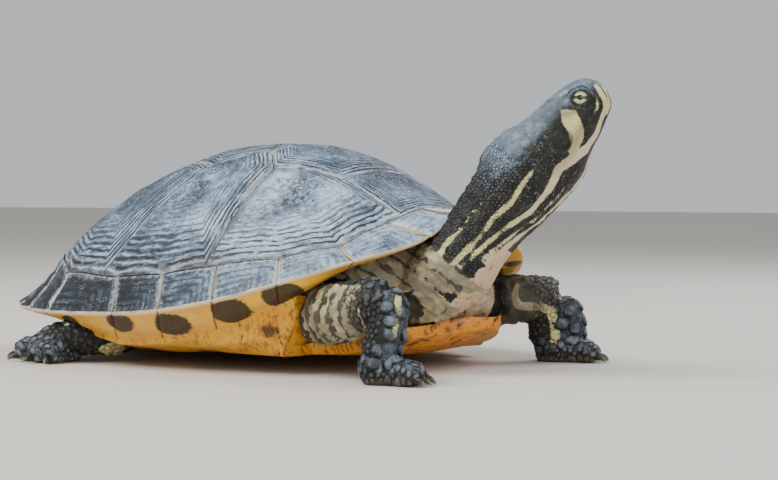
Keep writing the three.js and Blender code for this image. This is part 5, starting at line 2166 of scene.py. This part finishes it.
    def faced(self, points: Array) -> Array:
        """Shape lids, eye openings, mouth, nostrils, eardrum and brow on the head.

        Args:
            points: places in the turtle's frame.

        Returns:
            The moved points.
        """
        head = in_head(points)
        sign = where(head[:, 2] < 0, -1.0, 1.0)
        near = head * stack([np.ones(len(head)), np.ones(len(head)), sign], axis=-1)
        near = self.with_mouth(near)
        near = self.with_ear(near)
        near = self.with_nostril(near)
        near = self.with_lids(near)
        near[:, 2] *= sign
        return where(self.of_head(head)[:, None], on_head(near), points)

    def with_mouth(self, head: Array) -> Array:
        """Press in the line between the jaws and swell the lips beside it.

        Args:
            head: places in the head's frame, its left half as its right.

        Returns:
            The moved places.
        """
        line = array(self.mouth, float)
        gap = polyline_distance(head, line, np.zeros(len(line)))
        inwards = unit(stack([minimum(84 - head[:, 0], 0), -head[:, 1], -head[:, 2]], axis=-1))
        depth = 0.62 * bell(gap, 0.34) - 0.22 * bell(gap - 1.1, 0.6)
        fade = smooth(head[:, 0], 62, 66)
        return head + inwards * (depth * fade)[:, None]

    def with_ear(self, head: Array) -> Array:
        """Ring the eardrum, which lies under the skin behind the eye.

        Args:
            head: places in the head's frame, its left half as its right.

        Returns:
            The moved places.
        """
        gap = hypot(head[:, 0] - self.ear[0], head[:, 1] - self.ear[1])
        facing = smooth(head[:, 2], 6, 10)
        push = (0.28 * bell(gap, 2.6) - 0.32 * bell(gap - 3.9, 0.7)) * facing
        crease = hypot((head[:, 0] - 67.5) / 1.4, (head[:, 1] + 4.0) / 4.0)
        push -= 0.2 * bell(crease - 1, 0.25) * facing
        return head + stack([0 * push, 0 * push, push], axis=-1)

    def with_nostril(self, head: Array) -> Array:
        """Sink a nostril into the snout's tip.

        Args:
            head: places in the head's frame, its left half as its right.

        Returns:
            The moved places.
        """
        gap = norm(head - self.nostril, axis=1)
        depth = 0.75 * smooth(0.75 - gap, 0, 0.4)
        ridge = 0.12 * bell(gap - 0.95, 0.25) * (head[:, 0] > 84)
        return head - stack([depth - ridge, 0 * depth, 0 * depth], axis=-1)

    def to_opening(self, head: Array) -> tuple[Array, Array, Array, Array]:
        """Distance from the eye opening's edge, how far above its middle, facing and reach.

        Args:
            head: places in the head's frame, its left half as its right.

        Returns:
            The four, with each place's reach from the eyeball's middle last.
        """
        away = head - EYE
        far = norm(away, axis=1)
        seen = unit(away) * (EYE_RADIUS + self.lid_gap)
        x, y = seen @ BAR_FRONT, seen @ BAR_ABOVE
        half_x, half_y = self.opening
        almond = (abs(x) / half_x) ** 1.6 + (abs(y - 0.12 * x) / half_y) ** 2
        gap = (almond ** 0.55 - 1) * half_y  # about the distance from the opening's edge
        return gap, smooth(y, -0.5, 0.8), smooth(away[:, 2] / maximum(far, TINY), 0.05, 0.35), far

    def with_lids(self, head: Array) -> Array:
        """Draw the lids over the eyeball, leaving an almond opening, with creases above and below.

        Args:
            head: places in the head's frame, its left half as its right.

        Returns:
            The moved places.
        """
        gap, upper, facing, far = self.to_opening(head)
        lid = EYE_RADIUS + self.lid_gap + 0.22 * bell(gap - 0.35, 0.3)
        lid += (0.55 * bell(gap - 0.75, 0.4) - 0.5 * bell(gap - 1.35, 0.24)) * upper
        lid += (0.4 * bell(gap - 1.9, 0.35) - 0.45 * bell(gap - 2.5, 0.28)) * upper
        lid -= (0.4 * bell(gap - 1.1, 0.24) + 0.3 * bell(gap - 2.1, 0.28)) * (1 - upper)
        shell = soft_max(far, lid, 0.7)
        radius = lerp(EYE_RADIUS - 0.5, shell, smooth(gap, -0.16, 0.08))
        radius = lerp(far, radius, facing)
        return EYE + (head - EYE) * (radius / maximum(far, TINY))[:, None]

    def creases(self, points: Array) -> Array:
        """Painted shade in the skin's folds: round the eye, between the jaws, in the nostril and round the
        ear.

        Args:
            points: places in the turtle's frame.

        Returns:
            A share between 0 and 1 for each place.
        """
        head = in_head(points)
        head[:, 2] = abs(head[:, 2])
        gap, upper, facing, _ = self.to_opening(head)
        dark = bell(gap - 0.05, 0.26) + upper * (bell(gap - 1.35, 0.34) + 0.85 * bell(gap - 2.5, 0.34))
        dark = (dark + (1 - upper) * (0.55 * bell(gap - 1.1, 0.2) + 0.45 * bell(gap - 2.1, 0.22))) * facing
        line = array(self.mouth, float)
        jaws = bell(polyline_distance(head, line, np.zeros(len(line))), 0.4) * smooth(head[:, 0], 62, 66)
        nostril = smooth(1.0 - norm(head - self.nostril, axis=1), 0, 0.4)
        gap = hypot(head[:, 0] - self.ear[0], head[:, 1] - self.ear[1])
        ear = (0.55 * bell(gap - 3.6, 0.5) + 0.35 * smooth(3.6 - gap, 0, 1)) * smooth(head[:, 2], 6, 10)
        return clip(dark + jaws + nostril + ear, 0, 1) * (head[:, 0] > 50)

    def keep_out_of_shell(self, mesh: bpy.types.Mesh) -> None:
        """Draw hidden skin in from the shell's plates.

        Args:
            mesh: the skin's mesh, which is changed.
        """
        points = read_points(mesh)
        x, y = points[:, 0], points[:, 1]
        level = points.copy()
        level[:, 2] -= SHELL_LIFT + math.sin(SHELL_PITCH) * x - math.sin(SHELL_ROLL) * y * -1
        within = (abs(y) < 0.93 * SHELL.rim_half_width(x)) & (abs(x) < 106)
        roof = SHELL.underside(clip(x, -110, 110), y) - 0.4
        over = where(within & (level[:, 2] > roof - 20), maximum(0, level[:, 2] - roof), 0)
        over = where(in_head(points)[:, 0] > 2, 0, over)
        points[:, 2] -= over
        write_points(mesh, points)


@dataclass(frozen=True)
class ScaleKind:
    """How one region's scales look."""

    spacing: float
    wide: float = 1.0  # how much wider than long
    height: float = 0.35
    overlap: float = 0.0  # how far the free edge reaches over the next scale
    tilt: float = 0.0  # how far the free edge stands up
    fill: float = 0.92


class Scale(IntEnum):
    """Which kind of scale grows at a place."""

    NONE = -1
    NAPE = 0
    SMALL = 1
    THIGH = 2
    SHIELD = 3
    KNUCKLE = 4
    TOE = 5
    TAIL = 6


@dataclass
class Coat:
    """Scales and granules over the skin, grown in cells that crowd against each other."""

    body: BodyMap
    markings: Markings
    skin: bpy.types.Mesh
    around: int = 10
    ring_reach: tuple[float, ...] = (1.0, 0.93, 0.55, 0.0)  # a scale's rings, from its edge to its middle
    ring_lift: tuple[float, ...] = (-0.35, 0.45, 0.95, 1.1)
    ring_crown: tuple[float, ...] = (0.0, 0.25, 0.8, 1.0)
    fewest: int = 12  # places on the skin; fewer grow no scales
    patch: float = 0.003  # width of a scale's patch on the unwrap
    nape: ScaleKind = ScaleKind(1.12, 1.0, 0.20, 0.05, 0.02)
    small: ScaleKind = ScaleKind(1.7, 1.15, 0.34, 0.15, 0.08)
    thigh: ScaleKind = ScaleKind(2.1, 1.2, 0.36, 0.2, 0.1)
    shield: ScaleKind = ScaleKind(3.9, 1.7, 0.8, 1.0, 0.5, 0.95)
    knuckle: ScaleKind = ScaleKind(2.5, 1.5, 0.5, 0.5, 0.2)
    toe: ScaleKind = ScaleKind(2.1, 1.9, 0.42, 0.4, 0.16)
    tail: ScaleKind = ScaleKind(2.0, 1.2, 0.36, 0.3, 0.12)

    def build(self) -> None:
        """Grow every region's scales."""
        self.skin.calc_loop_triangles()
        self.points = read_points(self.skin)
        self.normals = read_normals(self.skin)
        self.place = self.body.locate(self.points)
        count = len(self.skin.polygons)
        corners = [tuple(p.vertices) for p in self.skin.polygons]
        self.tree = BVHTree.FromPolygons([tuple(p) for p in self.points], corners)
        LOG.info("skin for the scales: %d faces", count)
        hide = Hide("scale_hide", True).material()
        kinds = self.kinds()
        names = ["neck_granules", "tail_scales", *(f"{limb.name}_scales" for limb in LIMBS)]
        groups = [self.place["tube"] == 0, self.place["tube"] == 1]
        number = 2
        for limb in LIMBS:
            tubes = len(limb.tubes())
            groups.append((self.place["tube"] >= number) & (self.place["tube"] < number + tubes))
            number += tubes
        for name, group in zip(names, groups):
            for kind_number, kind in enumerate(self.all_kinds()):
                chosen = np.nonzero(group & (kinds == kind_number))[0]
                if len(chosen) < self.fewest:
                    continue
                roots = self.scatter(chosen, kind)
                self.grow(f"{name}_{kind_number}", roots, kind, hide)

    def all_kinds(self) -> list[ScaleKind]:
        """Every kind of scale, in the order of their numbers."""
        return [self.nape, self.small, self.thigh, self.shield, self.knuckle, self.toe, self.tail]

    def kinds(self) -> Array:
        """Which kind of scale grows at each point of skin.

        Returns:
            One kind for each point.
        """
        region, t, angle = self.place["region"], self.place["t"], self.place["angle"]
        head = in_head(self.points)
        x, y, z = self.points.T
        kinds = full(len(self.points), Scale.NONE)
        top = cos(angle)
        neck = (region == Region.NECK) & (head[:, 0] > 4) & (head[:, 0] < 46)
        around = arctan2(abs(head[:, 2]), head[:, 1])
        kinds[neck & (around < 1.75 + 0.2 * sin(head[:, 0] * 0.3))] = Scale.NAPE
        fore = x > 0
        upper, lower = region == Region.UPPER_LEG, region == Region.LOWER_LEG
        palm = (region == Region.PALM) & (z > 1.2)
        outside = smooth(abs(y), 47, 50) > 0.5
        kinds[upper & fore & (t > 0.62) & outside] = Scale.SMALL
        kinds[upper & fore & (t > 0.84) & (top > -0.1)] = Scale.KNUCKLE
        kinds[lower & fore] = Scale.SMALL
        kinds[lower & fore & (top > -0.25)] = Scale.SHIELD
        kinds[~fore & (lower | upper & (t > 0.3))] = Scale.THIGH
        kinds[palm] = Scale.KNUCKLE
        kinds[palm & (top < 0.1)] = Scale.SMALL
        kinds[(region == Region.TOE) & (z > 1.0)] = Scale.TOE
        kinds[(region == Region.TAIL) & (t > 0.12)] = Scale.TAIL
        kinds[z < 0.7] = Scale.NONE
        return kinds

    def scatter(self, chosen: Array, kind: ScaleKind) -> Array:
        """Pick roots that keep their distance from each other.

        Args:
            chosen: numbers of skin points that may hold a root.
            kind: the kind of scale.

        Returns:
            The picked numbers.
        """
        order = np.random.default_rng(SEED).permutation(chosen)
        across, forward = self.directions(order)
        spacing = kind.spacing
        cell: dict[tuple[int, int, int], list[int]] = {}
        picked: list[int] = []
        points = self.points[order]
        keys = np.floor(points / (spacing * max(1.0, kind.wide))).astype(int)
        for i, key in enumerate(map(tuple, keys)):
            near = [j for a in (-1, 0, 1) for b in (-1, 0, 1) for c in (-1, 0, 1)
                    for j in cell.get((key[0] + a, key[1] + b, key[2] + c), ())]
            if near:
                away = points[near] - points[i]
                wide, long = away @ across[i], away @ forward[i]
                rest = maximum(0, (away ** 2).sum(axis=1) - wide ** 2 - long ** 2)
                if (sqrt((wide / kind.wide) ** 2 + long ** 2 + rest) < spacing).any():
                    continue
            cell.setdefault(key, []).append(i)
            picked.append(i)
        return order[picked]

    def directions(self, numbers: Array) -> tuple[Array, Array]:
        """Across and forward directions in the skin at some of its points.

        Args:
            numbers: which points of skin.

        Returns:
            Two sets of unit vectors.
        """
        normals, forward = self.normals[numbers], self.place["forward"][numbers]
        forward = unit(forward - normals * (forward * normals).sum(axis=1, keepdims=True) + 1e-6)
        return np.cross(forward, normals), forward

    def template(self) -> bpy.types.Mesh:
        """One flat scale: a fan of rings that the skin's shape is given to later.

        Returns:
            Its mesh.
        """
        mesh = bpy.data.meshes.new("scale")
        with shaping(mesh) as bm:
            bmesh.ops.create_grid(bm, x_segments=self.around, size=0.5,
                                  y_segments=len(self.ring_reach) - 1,
                                  matrix=Matrix.Translation((0.5, 0.5, 0)))
        return mesh

    def grow(self, name: str, roots: Array, kind: ScaleKind, hide: bpy.types.Material) -> None:
        """Grow one scale at each root.

        Args:
            name: the piece's name.
            roots: numbers of skin points.
            kind: the kind of scale.
            hide: their finish.
        """
        count = len(roots)
        if count < 3:
            return
        mesh = modified(self.template(), "ARRAY", {
            "count": count, "use_relative_offset": False, "use_constant_offset": True,
            "constant_offset_displace": (2.0, 0, 0)})
        size = len(mesh.vertices) // count
        flat = read_points(mesh)[:size]
        u, v = clip(flat[:, 0], 0, 1), clip(flat[:, 1], 0, 1)
        angle = u * math.tau
        row = np.round(v * (len(self.ring_reach) - 1)).astype(int)
        share, lift = array(self.ring_reach)[row], array(self.ring_lift)[row]
        base, normal = self.points[roots], self.normals[roots]
        across, forward = self.directions(roots)
        reach = self.cell_reach(base, across, forward, kind, angle)
        wide = reach * share * cos(angle) * kind.wide
        long = reach * share * sin(angle)
        free = maximum(0, sin(angle)) * share
        long = long + kind.overlap * free
        spots = base[:, None] + across[:, None] * wide[..., None] + forward[:, None] * long[..., None]
        flat_spots = spots.reshape(-1, 3)
        surface = np.empty_like(flat_spots)
        facing = np.empty_like(flat_spots)
        for i, spot in enumerate(flat_spots):
            found, way, _, _ = self.tree.find_nearest(Vector(spot))
            surface[i], facing[i] = found, way
        facing = unit(facing * 0.4 + np.repeat(normal, size, axis=0) * 0.6)
        grown = minimum(1.3, reach.mean(axis=1, keepdims=True) / (kind.spacing * 0.5))
        raise_by = kind.height * lift * grown + kind.tilt * (lift > 0) * (1.6 * free - 0.6)
        points = surface + facing * raise_by.reshape(-1)[:, None]
        points[:, 2] = maximum(points[:, 2], 0.05)
        write_points(mesh, points)
        located = {key: np.repeat(value[roots], size, axis=0) for key, value in self.place.items()}
        base_facts = self.markings.facts(base, {key: value[roots] for key, value in self.place.items()})
        facts = {key: np.repeat(value, size) for key, value in base_facts.items()}
        facts["crown"] = np.tile(array(self.ring_crown)[row], count)
        facts["tone"] = np.repeat(np.random.default_rng(SEED + count).random(count), size)
        own = self.markings.facts(points, located)["stripe"]
        facts["stripe"] = lerp(facts["stripe"], own, 0.5)
        write_facts(mesh, facts)
        self.unwrap(mesh, roots, flat)
        with shaping(mesh) as bm:
            bmesh.ops.remove_doubles(bm, verts=bm.verts, dist=2e-3)
            bmesh.ops.dissolve_degenerate(bm, dist=1e-3, edges=bm.edges)
            bmesh.ops.holes_fill(bm, edges=[e for e in bm.edges if e.is_boundary], sides=0)
            bmesh.ops.recalc_face_normals(bm, faces=bm.faces)
        make_piece(name, mesh, hide)

    def cell_reach(self, base: Array, across: Array, forward: Array, kind: ScaleKind,
                   angle: Array) -> Array:
        """How far each scale grows in each direction before it meets its neighbours.

        Args:
            base: the roots.
            across: the way across at each root.
            forward: the way down the body at each root.
            kind: the kind of scale.
            angle: the directions round each scale.

        Returns:
            One reach for each root and direction.
        """
        tree = KDTree(len(base))
        for i, point in enumerate(base):
            tree.insert(Vector(point), i)
        tree.balance()
        limit = kind.spacing * 0.72
        reach = full((len(base), len(angle)), limit)
        for i, point in enumerate(base):
            near = [j for _, j, _ in tree.find_n(Vector(point), 11) if j != i]
            away = base[near] - point
            spot = stack([away @ across[i] / kind.wide, away @ forward[i]], axis=-1)
            far = norm(spot, axis=1)
            turn = arctan2(spot[:, 1], spot[:, 0])
            cosine = cos(angle[None] - turn[:, None])
            meets = where(cosine > 0.15, far[:, None] / 2 / maximum(cosine, 0.15), 1e3)
            reach[i] = minimum(reach[i], (meets ** -6.0).sum(axis=0) ** (-1 / 6))
        return reach * kind.fill

    def unwrap(self, mesh: bpy.types.Mesh, roots: Array, flat: Array) -> None:
        """Give each scale a small patch at its root's place on a layout of the body's tubes, by angle round
        and share along each.

        Args:
            mesh: the scales, before their doubles are merged.
            roots: numbers of skin points.
            flat: the template's own places.
        """
        tube, columns, margin = self.place["tube"][roots], 6, 0.08
        shares = stack([self.place["angle"][roots] / math.tau + 0.5, self.place["t"][roots]], axis=-1)
        squares = stack([tube % columns, tube // columns], axis=-1)
        middle = (squares + margin + (1 - 2 * margin) * shares) / columns
        turn = flat[:, 0] * math.tau
        spread = stack([cos(turn), sin(turn)], axis=-1) * flat[:, 1:2] * self.patch / 2
        places = (middle[:, None] + spread[None]).reshape(-1, 2)
        layer = mesh.uv_layers.get("OFBake") or mesh.uv_layers.new(name="OFBake")
        loops = np.empty(len(mesh.loops), np.int32)
        mesh.loops.foreach_get("vertex_index", loops)
        layer.data.foreach_set("uv", places[loops].astype(np.float32).ravel())


@dataclass(frozen=True)
class Eyes:
    """Two eyeballs, wet and set under the lids."""

    segments: int = 48
    rings: int = 32

    def build(self) -> None:
        """Make and dress both eyes."""
        gloss = EyeGloss().material()
        for side in Side:
            mesh = bpy.data.meshes.new(f"eyeball_{side.word}")
            with shaping(mesh) as bm:
                bmesh.ops.create_uvsphere(bm, u_segments=self.segments, v_segments=self.rings,
                                          radius=EYE_RADIUS)
            ball = read_points(mesh)
            outwards = -side.value
            head = ball @ HEAD_FRAME.T * (1, 1, outwards)
            seen = smooth(head[:, 2], 0, 1)
            gaze = stack([head @ BAR_FRONT, head @ BAR_ABOVE - 0.1, head[:, 2]], axis=-1)
            gaze[:, :2] += ((1 - seen) * 5)[:, None]
            write_points(mesh, ball + on_head(EYE * (1, 1, outwards)))
            write_facts(mesh, {"gaze": gaze})
            make_piece(f"eyeball_{side.word}", mesh, gloss, [f"eye_{side.word}"])


@dataclass(frozen=True)
class Claws:
    """Every toe's claw."""

    columns: int = 14
    rows: int = 18

    def build(self) -> None:
        """Make and dress the claws."""
        horn = ClawHorn().material()
        for limb in LIMBS:
            for i in range(limb.foot.toes):
                tube = limb.foot.claw_tube(i)
                mesh = grids(tube.name, self.columns, self.rows, self.with_length(tube))
                make_piece(f"{limb.name}_claw_horn_{i + 1}", mesh, horn,
                           [f"{limb.name}_claw_{i + 1}"])

    def with_length(self, tube: Tube) -> Place:
        """A tube's surface that also keeps how far along each point is.

        Args:
            tube: the tube.

        Returns:
            What places the grid's points.
        """
        surface = tube.place(0.0)

        def place(index: Array, u: Array, v: Array) -> tuple[Array, Facts]:
            """Place the claw's points.

            Args:
                index: each grid's number, which is not used.
                u: how far across each grid.
                v: how far along each grid.

            Returns:
                The points and how far along each is.
            """
            points, _ = surface(index, u, v)
            points[:, 2] = maximum(points[:, 2], 0.1)
            return points, {"along": v}

        return place


# ---------------------------------------------------------------- the studio
@dataclass(frozen=True)
class Studio:
    """Pale floor, soft lights and the camera."""

    eye: tuple[float, float, float] = (515.6, -515.0, 62.5)
    heading: float = 41.1  # degrees that the view is turned from straight across
    pitch: float = 1.094
    roll: float = 0.41
    lens: float = 79.96
    floor_reach: float = 30.0

    def build(self) -> None:
        """Make everything round the turtle."""
        self.add_floor()
        self.add_light("key", (-0.25, -0.75, 1.15), 0.9, 22.0, (1.0, 0.985, 0.96))
        self.add_light("back", (0.3, 0.9, 0.9), 0.7, 10.0, (0.92, 0.96, 1.0))
        self.add_light("front", (0.9, -0.5, 0.45), 0.8, 4.0, (1.0, 0.97, 0.93))
        world = bpy.data.worlds.new("studio_air")
        world.use_nodes = True
        sky = world.node_tree.nodes["Background"]
        sky.inputs["Color"].default_value = (0.80, 0.82, 0.84, 1.0)
        sky.inputs["Strength"].default_value = 0.75
        bpy.context.scene.world = world
        self.add_camera()

    def add_floor(self) -> None:
        """A plain floor."""
        mesh = bpy.data.meshes.new("floor")
        with shaping(mesh) as bm:
            bmesh.ops.create_grid(bm, x_segments=2, y_segments=2, size=self.floor_reach)
        mesh.materials.append(StudioFloor().material())
        floor = bpy.data.objects.new("floor", mesh)
        bpy.context.scene.collection.objects.link(floor)

    def add_light(self, name: str, place: tuple[float, float, float], size: float, watts: float,
                  colour: tuple[float, float, float]) -> None:
        """Add one soft light aimed at the turtle.

        Args:
            name: its name.
            place: where it is, in metres.
            size: its width.
            watts: its strength.
            colour: its colour.
        """
        data = bpy.data.lights.new(name, "AREA")
        data.size, data.energy, data.color = size, watts, colour
        light = bpy.data.objects.new(name, data)
        bpy.context.scene.collection.objects.link(light)
        light.location = place
        light.rotation_euler = (Vector((0, 0, 0.04)) - Vector(place)).to_track_quat("-Z", "Y").to_euler()

    def add_camera(self) -> None:
        """Add the camera."""
        data = bpy.data.cameras.new("camera")
        data.lens, data.sensor_width = self.lens, 36.0
        data.clip_start, data.clip_end = 0.01, 100.0
        camera = bpy.data.objects.new("camera", data)
        bpy.context.scene.collection.objects.link(camera)
        turn = math.radians(self.heading)
        tip = math.radians(self.pitch)
        ahead = Vector((-math.sin(turn) * math.cos(tip), math.cos(turn) * math.cos(tip), -math.sin(tip)))
        level = ahead.to_track_quat("-Z", "Y").to_matrix().to_4x4()
        spin = Matrix.Rotation(math.radians(self.roll), 4, "Z")
        place = Matrix.Translation(Vector((array(self.eye) - ORIGIN) * MM))
        camera.matrix_world = place @ level @ spin
        bpy.context.scene.camera = camera


def main() -> None:
    """Build the turtle and its studio."""
    logging.basicConfig(level=logging.INFO, format="%(name)s: %(message)s")
    Studio().build()
    Carapace().build()
    Plastron().build()
    body, markings = BodyMap(), Markings()
    under = Skin(body, markings).build()
    Coat(body, markings, under).build()
    bpy.data.meshes.remove(under)
    Eyes().build()
    Claws().build()


if __name__ == "__main__":
    main()
